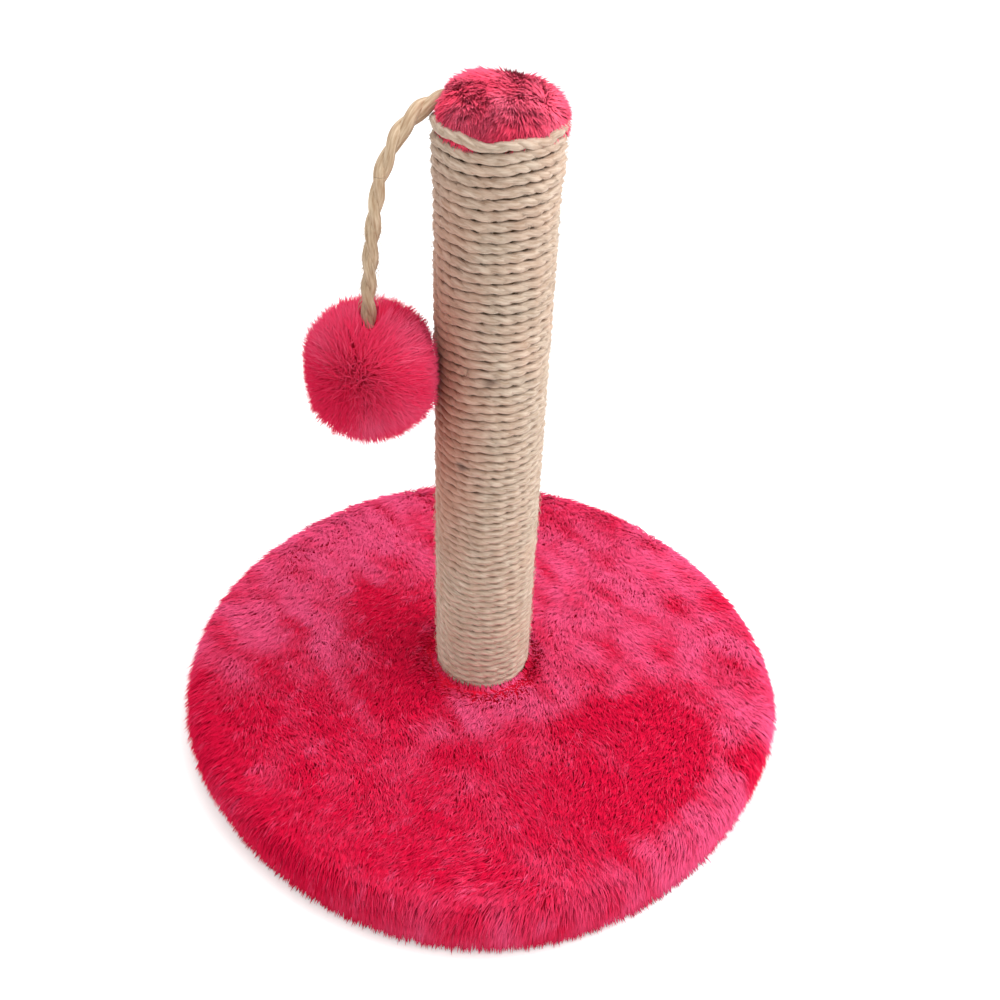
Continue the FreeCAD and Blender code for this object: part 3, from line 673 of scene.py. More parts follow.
def swept_tube(name: str, path: np.ndarray, radius: np.ndarray, sides: int) -> bpy.types.Mesh:
    """A closed round tube along a path, with a map of its girth and length in metres.

    Args:
        name: The mesh's name.
        path: Rows of x, y and z.
        radius: The tube's radius at each row.
        sides: How many sides the tube has.

    Returns:
        The tube's mesh.
    """
    way = unit(np.gradient(path, axis=0))
    side = np.empty_like(way)
    side[0] = np.cross(way[0], (0.0, 0.0, 1.0) if abs(way[0][2]) < 0.9 else (1.0, 0.0, 0.0))
    for index in range(1, len(way)):
        side[index] = side[index - 1] - way[index] * side[index - 1].dot(way[index])
        side[index] /= np.linalg.norm(side[index])
    side[0] /= np.linalg.norm(side[0])
    up = np.cross(way, side)
    angles = np.linspace(0, math.tau, sides + 1)
    cosine, sine = np.cos(angles)[None, :, None], np.sin(angles)[None, :, None]
    ring = cosine * side[:, None, :] + sine * up[:, None, :]
    points = path[:, None, :] + ring * radius[:, None, None]

    sheet = bmesh.new()
    bmesh.ops.create_grid(sheet, x_segments=sides, y_segments=len(path) - 1, size=1.0, calc_uvs=False)
    mesh = made_mesh(name, sheet)
    mesh.vertices.foreach_set("co", points.reshape(-1))
    corners = np.empty(len(mesh.loops), dtype=np.int32)
    mesh.loops.foreach_get("vertex_index", corners)
    girth = np.tile(angles, len(path)) * float(radius.mean())
    along = np.repeat(travelled(path), sides + 1)
    plan = np.stack((girth[corners], along[corners]), axis=1).astype(np.float32)
    mesh.uv_layers.new(name="strand")
    mesh.uv_layers["strand"].data.foreach_set("uv", plan.reshape(-1))

    tube = bmesh.new()
    tube.from_mesh(mesh)
    tube.verts.ensure_lookup_table()
    row = sides + 1
    seam = {tube.verts[index * row + sides]: tube.verts[index * row] for index in range(len(path))}
    bmesh.ops.weld_verts(tube, targetmap=seam)
    bmesh.ops.holes_fill(tube, edges=[edge for edge in tube.edges if edge.is_boundary], sides=0)
    bmesh.ops.recalc_face_normals(tube, faces=tube.faces)
    for face in tube.faces:
        face.smooth = len(face.verts) == 4
    tube.to_mesh(mesh)
    tube.free()
    return mesh


def joined(name: str, meshes: list[bpy.types.Mesh]) -> bpy.types.Mesh:
    """Several meshes as one.

    Args:
        name: The new mesh's name.
        meshes: What to join; they are deleted.

    Returns:
        The joined mesh.
    """
    whole = bmesh.new()
    for mesh in meshes:
        whole.from_mesh(mesh)
        bpy.data.meshes.remove(mesh)
    return made_mesh(name, whole)


@dataclass
class Tufts:
    """Many tapered tufts of pile, each from a root along its own bent line."""

    roots: np.ndarray
    normals: np.ndarray
    leans: np.ndarray
    lengths: np.ndarray
    tilts: np.ndarray
    widths: np.ndarray
    chance: np.ndarray
    painted_sheen: np.ndarray
    softness: float = 0.6
    lift: float = 0.0

    def chosen(self, mask: np.ndarray) -> "Tufts":
        """The tufts that a mask keeps.

        Args:
            mask: True for each tuft that stays.

        Returns:
            Those tufts.
        """
        parts = (self.roots, self.normals, self.leans, self.lengths, self.tilts,
                 self.widths, self.chance, self.painted_sheen)
        return Tufts(*(part[mask] for part in parts), self.softness, self.lift)

    def bent_line(self, share: float) -> np.ndarray:
        """Where each tuft is at a share of its length.

        Args:
            share: From 0 at the root to 1 at the tip.

        Returns:
            Rows of x, y and z.
        """
        tilt = self.tilts * (0.55 + 0.45 * share)
        way = self.normals * np.cos(tilt)[:, None] + self.leans * np.sin(tilt)[:, None]
        return self.roots + way * (self.lengths * share)[:, None]

    def stations(self, clump: float, pull: float, seed: int) -> tuple[np.ndarray, np.ndarray, np.ndarray]:
        """Root, middle and tip of each tuft, with tips drawn together in clumps.

        Args:
            clump: The clumps' size in metres.
            pull: How far tips are drawn together, from 0 to 1.
            seed: The random seed.

        Returns:
            The three arrays of points.
        """
        random = np.random.default_rng(seed)
        middle = self.bent_line(0.5)
        tip = self.bent_line(1.0)
        strewn = self.roots + random.normal(0, clump * 0.16, self.roots.shape)
        cells = np.floor(strewn / clump).astype(np.int64)
        keys = cells[:, 0] * 1_000_003 + cells[:, 1] * 10_007 + cells[:, 2]
        found, member = np.unique(keys, return_inverse=True)
        counts = np.bincount(member, minlength=len(found))[:, None]
        centre = np.stack([np.bincount(member, tip[:, axis]) for axis in range(3)], axis=1) / counts
        drawn = (centre[member] - tip) * (pull * random.uniform(0.4, 1.0, len(tip)))[:, None]
        return self.roots, middle + drawn * 0.35, tip + drawn

    def mesh(self, name: str, clump: float, pull: float, seed: int) -> bpy.types.Mesh:
        """All tufts as one mesh of slim three-sided spikes.

        Args:
            name: The mesh's name.
            clump: The clumps' size in metres.
            pull: How far tips are drawn together.
            seed: The random seed.

        Returns:
            The mesh, with its pile attribute and soft normals.
        """
        root, middle, tip = self.stations(clump, pull, seed)
        way = unit(tip - root)
        side = unit(np.cross(way, self.normals + 1e-4))
        up = np.cross(way, side)
        angles = np.arange(3) / 3 * math.tau + 0.5
        rim = np.cos(angles)[:, None, None] * side[None] + np.sin(angles)[:, None, None] * up[None]
        low = root[None] + rim * (self.widths * 0.5)[None, :, None]
        mid = middle[None] + rim * (self.widths * 0.42)[None, :, None]
        points = np.concatenate((low, mid, tip[None]), axis=0).transpose(1, 0, 2)
        points[:, :, 2] = np.maximum(points[:, :, 2], FLOOR_CLEAR)
        soft = self.softness
        facing = unit(self.normals + np.array([[0.0, 0.0, self.lift]]))
        bulge = unit((rim * (1 - soft) + facing[None] * soft).reshape(-1, 3)).reshape(rim.shape)
        top = unit(facing * 0.8 - up * 0.3)
        shading = np.concatenate((bulge, bulge, top[None]), axis=0).transpose(1, 0, 2)

        spike = bmesh.new()
        base = bmesh.ops.create_circle(spike, segments=3, radius=1.0, cap_ends=False)["verts"]
        grown = bmesh.ops.extrude_edge_only(spike, edges=spike.edges[:])["geom"]
        ring = [part for part in grown if isinstance(part, bmesh.types.BMVert)]
        bmesh.ops.translate(spike, verts=ring, vec=(0, 0, 1))
        rim_edges = [part for part in grown if isinstance(part, bmesh.types.BMEdge)]
        fan = bmesh.ops.extrude_edge_only(spike, edges=rim_edges)["geom"]
        peak = [part for part in fan if isinstance(part, bmesh.types.BMVert)]
        bmesh.ops.pointmerge(spike, verts=peak, merge_co=(0, 0, 2))
        bmesh.ops.recalc_face_normals(spike, faces=spike.faces)
        spike.verts.ensure_lookup_table()
        spike.verts.index_update()
        order = {}
        for vert in spike.verts:
            turn = int(round((math.atan2(vert.co.y, vert.co.x) % math.tau) / (math.tau / 3))) % 3
            order[vert.index] = 6 if vert.co.z > 1.5 else turn + (3 if vert.co.z > 0.5 else 0)
        faces = [[order[vert.index] for vert in face.verts] for face in spike.faces]
        spike.free()

        count = len(root)
        sizes = np.array([len(face) for face in faces], dtype=np.int32)
        corners = np.concatenate([np.array(face, dtype=np.int32) for face in faces])
        all_corners = (corners[None, :] + 7 * np.arange(count, dtype=np.int32)[:, None]).reshape(-1)
        starts = np.concatenate(([0], np.cumsum(np.tile(sizes, count))[:-1])).astype(np.int32)
        mesh = bpy.data.meshes.new(name)
        mesh.vertices.add(7 * count)
        mesh.loops.add(len(all_corners))
        mesh.polygons.add(len(faces) * count)
        mesh.vertices.foreach_set("co", points.reshape(-1))
        mesh.loops.foreach_set("vertex_index", all_corners)
        mesh.polygons.foreach_set("loop_start", starts)
        mesh.update(calc_edges=True)
        shade_smooth(mesh)
        colours = np.ones((count, 7, 4), dtype=np.float32)
        colours[:, :, 0] = np.array([0.0, 0.0, 0.0, 0.55, 0.55, 0.55, 1.0])[None, :]
        colours[:, :, 1] = self.chance[:, None]
        # The third channel carries the painted sheen.
        colours[:, :, 2] = self.painted_sheen[:, None]
        pile = mesh.color_attributes.new("pile", "FLOAT_COLOR", "POINT")
        pile.data.foreach_set("color", colours.reshape(-1))
        mesh.normals_split_custom_set_from_vertices(shading.reshape(-1, 3).tolist())
        return mesh


# ---------------------------------------------------------------- base

@dataclass(frozen=True)
class PaintedLightPatch:
    """A patch of painted light on the base's pile: a positive strength paints it paler with sheen, a
    negative one darker with shade.
    """

    x: float
    y: float
    wide: float
    deep: float
    turn: float
    strength: float

    def at(self, points: np.ndarray) -> np.ndarray:
        """How strongly the patch shows at some points.

        Args:
            points: Rows of x, y and z in metres.

        Returns:
            One number for each point.
        """
        cosine, sine = math.cos(math.radians(self.turn)), math.sin(math.radians(self.turn))
        east = points[:, 0] - self.x * MM
        north = points[:, 1] - self.y * MM
        along = (east * cosine + north * sine) / (self.wide * MM)
        across = (north * cosine - east * sine) / (self.deep * MM)
        return self.strength * np.exp(-(along ** 2 + across ** 2))


@dataclass
class PlushBase:
    """The round base's plush cover: its backing and its pile."""

    post_clear: float = 0.0295
    backing_radius: float = BASE_RADIUS - 0.0075
    backing_top: float = PILE_TOP - 0.0051
    edge_round: float = 0.0095
    tuft_count: int = 130000
    sectors: int = 6
    tuft_length: float = 0.0108
    tuft_width: float = 0.00095
    combed: float = -112.0
    clump: float = 0.005
    pull: float = 0.16
    softness: float = 0.82
    swell_share: float = 0.75
    patches: tuple[PaintedLightPatch, ...] = ()
    swells: tuple[Point, ...] = (
        (96.0, 38.0, 0.0072),
        (152.0, 32.0, 0.0080),
        (184.0, 20.0, 0.0025),
        (222.0, 26.0, -0.0040),
        (-20.0, 26.0, 0.0058),
        (-62.0, 24.0, -0.0058),
    )
    # Painted light and shade round the rounded edge, each a middle and a spread in degrees and a
    # strength: paler at the right front, towards the lamp, deeper on the left.
    edge_light_and_shades: tuple[Point, ...] = ((-50.0, 27.0, 1.0), (-168.0, 40.0, -0.15), (-100.0, 16.0, 0.25))

    def profile(self) -> np.ndarray:
        """The backing's outline, from the post outwards and down to the floor.

        Returns:
            Rows of radius, height, and the outward normal's radius and height.
        """
        top, radius, bend = self.backing_top, self.backing_radius, self.edge_round
        rows = []
        for distance in np.linspace(self.post_clear, radius - bend, 40):
            rows.append((distance, top, 0.0, 1.0))
        for angle in np.linspace(math.pi / 2, 0, 9)[1:]:
            cosine, sine = math.cos(angle), math.sin(angle)
            rows.append((radius - bend + bend * cosine, top - bend + bend * sine, cosine, sine))
        low = 0.0045
        for height in np.linspace(top - bend, low, 6)[1:]:
            rows.append((radius, height, 1.0, 0.0))
        for angle in np.linspace(0, -math.pi / 2, 5)[1:]:
            cosine, sine = math.cos(angle), math.sin(angle)
            rows.append((radius - 0.0035 + 0.0035 * cosine, low + 0.0035 * sine, cosine, sine))
        return np.array(rows)

    def about_post(self, points: np.ndarray) -> np.ndarray:
        """Points laid out round the base's middle, with those near the post moved to lie round it.

        Args:
            points: Rows of x, y and z in metres.

        Returns:
            The moved points.
        """
        nearness = 1 - smooth_step(np.hypot(points[:, 0], points[:, 1]), self.post_clear, 0.120)
        shift = np.where(points[:, 2] > 0.006, nearness, 0.0)[:, None]
        return points + shift * np.array([[POST_X, POST_Y, 0.0]])

    def swell(self, points: np.ndarray) -> np.ndarray:
        """How far the cover stands out or in at its edge, as a loose cover on a round board does.

        Args:
            points: Rows of x, y and z in metres.

        Returns:
            One distance for each point.
        """
        azimuth = np.degrees(np.arctan2(points[:, 1], points[:, 0]))
        outer = smooth_step(np.hypot(points[:, 0], points[:, 1]), 0.150, 0.172)
        return humps(azimuth, self.swells) * outer

    def swollen(self, points: np.ndarray) -> np.ndarray:
        """Points moved outwards by the cloth's share of the swell; longer pile gives the rest.

        Args:
            points: Rows of x, y and z in metres.

        Returns:
            The moved points.
        """
        flat = unit(points * np.array([[1.0, 1.0, 0.0]]))
        high = smooth_step(points[:, 2], 0.002, 0.010)
        return points + flat * (self.swell(points) * self.swell_share * high)[:, None]

    def backing(self, material: bpy.types.Material) -> bpy.types.Object:
        """The cloth under the pile, which also closes the underside.

        Args:
            material: The cloth's finish.

        Returns:
            The piece.
        """
        outline = bmesh.new()
        rows = self.profile()
        points = [(radius, 0.0, height) for radius, height, _, _ in rows]
        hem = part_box("base_lining")[1][0] + 0.0006
        points.append((hem, 0.0, 0.001))
        points.append((hem, 0.0, 0.0032))
        verts = [outline.verts.new(point) for point in points]
        edges = [outline.edges.new(pair) for pair in zip(verts, verts[1:])]
        bmesh.ops.spin(outline, geom=verts + edges, cent=(0, 0, 0), axis=(0, 0, 1),
                       angle=math.tau, steps=160, use_merge=True)
        bmesh.ops.remove_doubles(outline, verts=outline.verts, dist=1e-6)
        bmesh.ops.recalc_face_normals(outline, faces=outline.faces)
        mesh = made_mesh("base_backing", outline)
        places = places_of(mesh)
        high = smooth_step(places[:, 2], 0.006, 0.016)
        places[:, 2] += Ripple(3, 0.028).at(places) * 0.0008 * high
        places = self.swollen(self.about_post(places))
        mesh.vertices.foreach_set("co", places.reshape(-1))
        mesh.update()
        shade_smooth(mesh)
        if mesh.polygons[0].normal.z < 0:
            mesh.flip_normals()
        piece = new_piece("base_backing", mesh, material)
        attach(piece, "stand")
        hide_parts("base_plush")
        return piece

    def field_of_pile(self) -> Tufts:
        """Where every tuft grows and how it lies.

        Returns:
            The tufts of the whole base.
        """
        random = np.random.default_rng(11)
        rows = self.profile()
        steps = np.linalg.norm(np.diff(rows[:, :2], axis=0), axis=1)
        ring = (rows[:-1, 0] + rows[1:, 0]) / 2 * steps
        total = np.concatenate(([0.0], np.cumsum(ring)))
        pick = random.uniform(0, total[-1], self.tuft_count)
        index = np.searchsorted(total, pick, side="right") - 1
        share = (pick - total[index]) / ring[index]
        radius, height, normal_r, normal_z = (
            rows[index, column] * (1 - share) + rows[index + 1, column] * share for column in range(4))
        azimuth = random.uniform(0, math.tau, self.tuft_count)
        outward = level(azimuth)
        roots = outward * radius[:, None]
        roots[:, 2] = height
        roots = self.about_post(roots)
        normals = unit(outward * normal_r[:, None] + np.array([0, 0, 1.0]) * normal_z[:, None])
        downhill = unit(outward * normal_z[:, None] - np.array([0, 0, 1.0]) * normal_r[:, None])

        from_post = np.hypot(roots[:, 0] - POST_X, roots[:, 1] - POST_Y)
        heading = 0.45 * Ripple(21, 0.11).at(roots) + 0.28 * Ripple(22, 0.045).at(roots)
        heading += math.radians(self.combed)
        swept = level(heading)
        swept = unit(swept + random.normal(0, 0.28, swept.shape))
        edge = smooth_step(np.hypot(roots[:, 0], roots[:, 1]), 0.15, self.backing_radius)
        edge = np.maximum(edge * 0.4, 1.0 - normal_z)
        leans = swept * (1 - edge * 0.8)[:, None] + downhill * (edge * 1.2)[:, None]
        leans = unit(square_to(leans, normals))

        # Painted sheen and shade over the base: a faint ripple, the listed patches, the edge's painted
        # light, finer mottling and noise.
        painted_sheen = 0.10 + 0.10 * Ripple(31, 0.06).at(roots)
        for patch in self.patches:
            painted_sheen = painted_sheen + patch.at(roots)
        painted_sheen += self.edge_light_and_shade(roots)
        painted_sheen += np.clip(painted_sheen + 0.25, 0.0, 1.0) * 0.30 * Ripple(32, 0.02).at(roots)
        # Painted highlights on small clumps of tufts.
        painted_sheen += 0.38 * smooth_step(Ripple(33, 0.0085).at(roots), 1.0, 1.5)
        painted_sheen = np.clip(painted_sheen + random.normal(0, 0.07, len(painted_sheen)), 0.0, 1.0)
        tilts = np.radians(64 + random.normal(0, 6, len(painted_sheen)))
        tilts = np.where(normal_z < 0.5, np.radians(56) + random.normal(0, 0.12, len(tilts)), tilts)
        near = 1 - smooth_step(from_post, 0.033, 0.046)
        beside = 1 - smooth_step(from_post, 0.0320, 0.036)
        inward = unit(np.array([[POST_X, POST_Y, 0.0]]) - roots * np.array([[1.0, 1.0, 0.0]]))
        leans = unit(leans * (1 - beside)[:, None] + (inward + leans * 0.25) * beside[:, None])
        tilts = tilts * (1 - near) + np.radians(36) * near
        lengths = self.tuft_length * random.uniform(0.75, 1.2, len(painted_sheen)) * (1 - 0.45 * near)
        lengths += np.clip(self.swell(roots), 0.0, 1.0) * 0.3
        widths = self.tuft_width * random.uniform(0.7, 1.25, len(painted_sheen))
        roots = self.swollen(roots) - normals * 0.001
        keep = from_post > self.post_clear + 0.0022
        return Tufts(roots, normals, leans, lengths, tilts, widths,
                     random.uniform(0, 1, len(painted_sheen)), painted_sheen, self.softness).chosen(keep)

    def edge_light_and_shade(self, points: np.ndarray) -> np.ndarray:
        """Painted light on the pile of the rounded edge: paler on the lamp's side, deeper with painted
        shade on the other.

        Args:
            points: Rows of x, y and z in metres.

        Returns:
            One number for each point.
        """
        azimuth = np.degrees(np.arctan2(points[:, 1], points[:, 0]))
        outer = smooth_step(np.hypot(points[:, 0], points[:, 1]), 0.148, 0.166)
        return humps(azimuth, self.edge_light_and_shades) * outer

    def build(self) -> None:
        """Make the backing and the pile, in sectors."""
        self.backing(CRIMSON_BACKING.material())
        pile = self.field_of_pile()
        material = CRIMSON_PILE.material()
        azimuth = np.arctan2(pile.roots[:, 1], pile.roots[:, 0]) % math.tau
        sector = np.floor(azimuth / math.tau * self.sectors).astype(int)
        for index in range(self.sectors):
            part = pile.chosen(sector == index)
            name = f"base_pile_{index + 1}"
            piece = new_piece(name, part.mesh(name, self.clump, self.pull, 40 + index), material)
            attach(piece, "stand")


# ---------------------------------------------------------------- twine

@dataclass
class WoundTwine:
    """The two-ply twine wound on the tube, from its foot to the rim under the cap."""

    pitch: float = 0.0052
    middle_radius: float = TUBE_RADIUS + 0.00255
    ply_radius: float = 0.00196
    ply_offset: float = 0.00064
    lay: float = 0.0165
    samples_per_turn: int = 104
    sides: int = 8
    top: float = DISC_TOP + 0.0034
    flare: float = 0.0008
    fibre_count: int = 9000

    def path(self) -> np.ndarray:
        """The twine's middle line, slightly uneven as wound by hand.

        Returns:
            Rows of x, y and z from the foot to the top.
        """
        foot = TUBE_FOOT + self.pitch * 0.5
        turns = (self.top - foot) / self.pitch
        loops = np.linspace(0, turns, int(turns * self.samples_per_turn))
        angle = math.pi / 2 + (loops - turns) * math.tau
        height = foot + loops * self.pitch
        rows = np.stack((np.cos(angle) * 0.03, np.sin(angle) * 0.03, height), axis=1)
        uneven = Ripple(51, 0.03).at(rows)
        wander = Ripple(52, 0.012).at(rows)
        height = height + 0.00055 * uneven * smooth_step(turns - loops, 0.0, 1.5)
        left = humps(np.degrees(angle), ((180.0, 48.0, 1.0),))
        height += 0.0021 * left * smooth_step(loops, turns - 1.45, turns - 1.1)
        height += 0.0007 * smooth_step(loops, turns - 0.9, turns - 0.6) * np.sin(angle * 7)
        radius = self.middle_radius + 0.00025 * wander
        radius += self.flare * smooth_step(loops, turns - 6.2, turns - 4.2)
        radius += 0.0003 * smooth_step(loops, turns - 1.2, turns - 0.8)
        east, north = np.cos(angle) * radius + POST_X, np.sin(angle) * radius + POST_Y
        return np.stack((east, north, height), axis=1)

    def plies(self) -> list[np.ndarray]:
        """The two plies' middle lines, twisted round the twine's.

        Returns:
            Two arrays of points.
        """
        path = self.path()
        outward = unit((path - np.array([POST_X, POST_Y, 0.0])) * np.array([1.0, 1.0, 0.0]))
        turn = travelled(path) / self.lay * math.tau + 0.7 * Ripple(53, 0.02).at(path)
        return twisted_pair(path, outward, turn, self.ply_offset)

    def fibres(self) -> Tufts:
        """Loose fibres that stand off the twine.

        Returns:
            The fibres.
        """
        random = np.random.default_rng(61)
        line = self.path()
        pick = random.integers(4, len(line) - 4, self.fibre_count)
        outward = unit((line[pick] - np.array([POST_X, POST_Y, 0.0])) * np.array([1.0, 1.0, 0.0]))
        way = unit(line[pick + 1] - line[pick - 1])
        tilt = random.normal(0, 0.5, (self.fibre_count, 1))
        back_or_on = np.sign(random.normal(size=(self.fibre_count, 1)))
        leans = unit(way * back_or_on + np.array([[0, 0, 1.0]]) * tilt)
        roots = line[pick] + outward * 0.0018
        roots[:, 2] += random.normal(0, 0.0007, self.fibre_count)
        lengths = random.uniform(0.0025, 0.0065, self.fibre_count)
        tilts = np.radians(random.uniform(62, 86, self.fibre_count))
        widths = random.uniform(0.00012, 0.00026, self.fibre_count)
        blank = np.zeros(self.fibre_count)
        return Tufts(roots, outward, leans, lengths, tilts, widths, blank, blank)

    def build(self) -> None:
        """Make the winding in three pieces, and its loose fibres."""
        material = POST_TWINE.material()
        plies = self.plies()
        count = len(plies[0])
        cuts = {
            "twine_low": (0, count // 3 + 1, ("twine_sleeve",)),
            "twine_middle": (count // 3, 2 * count // 3 + 1, ()),
            "twine_high": (2 * count // 3, count, ("twine_winding",)),
        }
        for name, (begin, end, nodes) in cuts.items():
            strands = []
            for number, line in enumerate(plies):
                stretch = line[begin:end]
                radius = np.full(len(stretch), self.ply_radius)
                radius *= 1 + 0.09 * Ripple(55 + number, 0.009).at(stretch)
                strands.append(swept_tube(f"{name}_ply", stretch, radius, self.sides))
            piece = new_piece(name, joined(name, strands), material)
            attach(piece, "stand")
            if nodes:
                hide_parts(*nodes)
        fuzz = new_piece("twine_fibres", self.fibres().mesh("twine_fibres", 0.004, 0.0, 62), material)
        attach(fuzz, "stand")


# ---------------------------------------------------------------- cap

@dataclass
class PlushCap:
    """The domed plush cap inside the twine's rim."""

    backing_radius: float = 0.0256
    backing_low: float = DISC_TOP
    backing_top: float = CAP_TOP + 0.0012
    fullness: float = 2.8
    tuft_count: int = 11000
    tuft_length: float = 0.0118
    tuft_width: float = 0.0012
    combed: float = -125.0
    clump: float = 0.0058
    pull: float = 0.42
    softness: float = 0.86
    lift: float = 2.2
    cord_clear: float = 0.0048

    def outline(self, share: np.ndarray) -> tuple[np.ndarray, np.ndarray, np.ndarray, np.ndarray]:
        """The puffed dome's outline, from its middle at 0 to its rim at 1.

        Args:
            share: Where on the outline, from 0 to 1.

        Returns:
            The radius, the height, and the outward normal's radius and height.
        """
        turn = share * math.pi / 2
        power = 2 / self.fullness
        flat = np.sin(turn) ** power
        high = np.cos(turn) ** power
        rise = self.backing_top - self.backing_low
        normal_r = flat ** (self.fullness - 1) / self.backing_radius
        normal_z = high ** (self.fullness - 1) / rise
        size = np.hypot(normal_r, normal_z)
        height = self.backing_low + high * rise
        return flat * self.backing_radius, height, normal_r / size, normal_z / size

    def backing(self, material: bpy.types.Material) -> bpy.types.Object:
        """The dome under the pile.

        Args:
            material: The cloth's finish.

        Returns:
            The piece.
        """
        radius, height, _, _ = self.outline(np.linspace(0, 1, 25))
        dome = bmesh.new()
        verts = [dome.verts.new((r, 0.0, z)) for r, z in zip(radius, height)]
        verts.append(dome.verts.new((0.0, 0.0, self.backing_low)))
        edges = [dome.edges.new(pair) for pair in zip(verts, verts[1:])]
        bmesh.ops.spin(dome, geom=verts + edges, cent=(0, 0, 0), axis=(0, 0, 1),
                       angle=math.tau, steps=64, use_merge=True)
        bmesh.ops.remove_doubles(dome, verts=dome.verts, dist=1e-6)
        bmesh.ops.translate(dome, verts=dome.verts, vec=(POST_X, POST_Y, 0.0))
        bmesh.ops.recalc_face_normals(dome, faces=dome.faces)
        mesh = made_mesh("cap_backing", dome)
        shade_smooth(mesh)
        piece = new_piece("cap_backing", mesh, material)
        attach(piece, "stand")
        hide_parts("cap_plush")
        return piece

    def pile(self, cord_points: np.ndarray) -> Tufts:
        """The cap's long tufts, swept forwards and over the rim.

        Args:
            cord_points: The cord's middle line, which the tufts leave free.

        Returns:
            The tufts.
        """
        random = np.random.default_rng(71)
        fine = np.linspace(0, 0.97, 200)
        radii, heights, _, _ = self.outline(fine)
        ring = (radii[1:] + radii[:-1]) / 2 * np.hypot(np.diff(radii), np.diff(heights))
        total = np.concatenate(([0.0], np.cumsum(ring)))
        share = np.interp(random.uniform(0, total[-1], self.tuft_count), total, fine)
        radius, height, normal_r, normal_z = self.outline(share)
        azimuth = random.uniform(0, math.tau, self.tuft_count)
        outward = level(azimuth)
        normals = unit(outward * normal_r[:, None] + np.array([[0, 0, 1.0]]) * normal_z[:, None])
        roots = outward * radius[:, None] + np.array([POST_X, POST_Y, 0.0])
        roots[:, 2] = height
        roots -= normals * 0.001
        rise = smooth_step(radius, 0.014, self.backing_radius)
        heading = math.radians(self.combed) + 0.9 * Ripple(72, 0.024).at(roots)
        swirl = level(heading)
        downhill = outward * normal_z[:, None] - np.array([[0, 0, 1.0]]) * normal_r[:, None]
        behind = smooth_step(outward[:, 1], 0.0, 0.8)
        over = smooth_step(outward @ np.array([0.95, 0.31, 0.0]), 0.2, 0.85) * rise
        leans = swirl * ((1.1 - 0.5 * rise) * (1 - 0.8 * over))[:, None]
        leans += downhill * (0.55 * rise * (1 - 0.5 * behind) + 0.5 * over)[:, None]
        leans += random.normal(0, 0.18, leans.shape)
        leans = unit(square_to(leans, normals))
        # Painted sheen on the cap, paler towards +x, the lamp's side.
        painted_sheen = 0.32 + 0.3 * Ripple(73, 0.016).at(roots)
        painted_sheen = painted_sheen + 0.2 * (roots[:, 0] - POST_X) / self.backing_radius
        painted_sheen = np.clip(painted_sheen + random.normal(0, 0.1, self.tuft_count), 0, 1)
        tilts = np.radians(60 + random.normal(0, 6, self.tuft_count) - 18 * over * (1 - 0.6 * behind))
        lengths = self.tuft_length * random.uniform(0.7, 1.15, self.tuft_count)
        lengths *= 1 - 0.36 * rise * (1 - 0.35 * over)
        widths = self.tuft_width * random.uniform(0.6, 1.2, self.tuft_count)
        tufts = Tufts(roots, normals, leans, lengths, tilts, widths,
                      random.uniform(0, 1, self.tuft_count), painted_sheen, self.softness, self.lift)
        tips = tufts.bent_line(1.0)
        bare = cord_points[np.hypot(cord_points[:, 0] - POST_X, cord_points[:, 1] - POST_Y) > 0.0275]
        nearest = np.min(np.linalg.norm(tips[:, None, :] - bare[None, ::3, :], axis=2), axis=1)
        return tufts.chosen(nearest > self.cord_clear)

    def stray_tufts(self) -> Tufts:
        """Tufts of the skirt that poke out between the top turns of twine.

        Returns:
            The tufts.
        """
        random = np.random.default_rng(81)
        count = 44
        azimuth = np.radians(random.normal(-143, 10, count))
        outward = level(azimuth)
        roots = outward * 0.0275 + np.array([POST_X, POST_Y, 0.0])
        roots[:, 2] = DISC_TOP - 0.0006 + random.normal(0, 0.0004, count)
        leans = np.tile(np.array([[0.3, -0.1, -1.0]]), (count, 1)) + random.normal(0, 0.3, (count, 3))
        leans = unit(square_to(leans, outward))
        lengths = 0.0040 * random.uniform(0.5, 1.2, count)
        full = np.full(count, 1.0)
        return Tufts(roots, outward, leans, lengths, np.radians(46) * full, 0.0008 * full,
                     random.uniform(0, 1, count), 0.2 * full)

    def build(self, cord_points: np.ndarray) -> None:
        """Make the cap.

        Args:
            cord_points: The cord's middle line.
        """
        self.backing(CAP_BACKING.material())
        material = CAP_PILE.material()
        for name, tufts, clump, pull in (
            ("cap_pile", self.pile(cord_points), self.clump, self.pull),
            ("cap_stray_pile", self.stray_tufts(), 0.004, 0.3),
        ):
            piece = new_piece(name, tufts.mesh(name, clump, pull, 74), material)
            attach(piece, "stand")


# ---------------------------------------------------------------- cord

# The cord's route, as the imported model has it: from its end in the cap, over the rim and down.
CORD_ROUTE_MM = [
    (0.0, 26.5, 377.6),
    (-14.5, 25.4, 378.6),
    (-26.2, 21.2, 380.7),
    (-36.7, 15.3, 376.9),
    (-44.6, 10.2, 370.9),
    (-50.4, 7.1, 362.6),
    (-54.4, 7.0, 353.0),
    (-56.5, 7.0, 343.1),
    (-58.2, 7.0, 331.5),
    (-60.8, 7.0, 311.5),
    (-62.8, 7.0, 291.0),
    (-62.8, 7.0, 271.0),
]


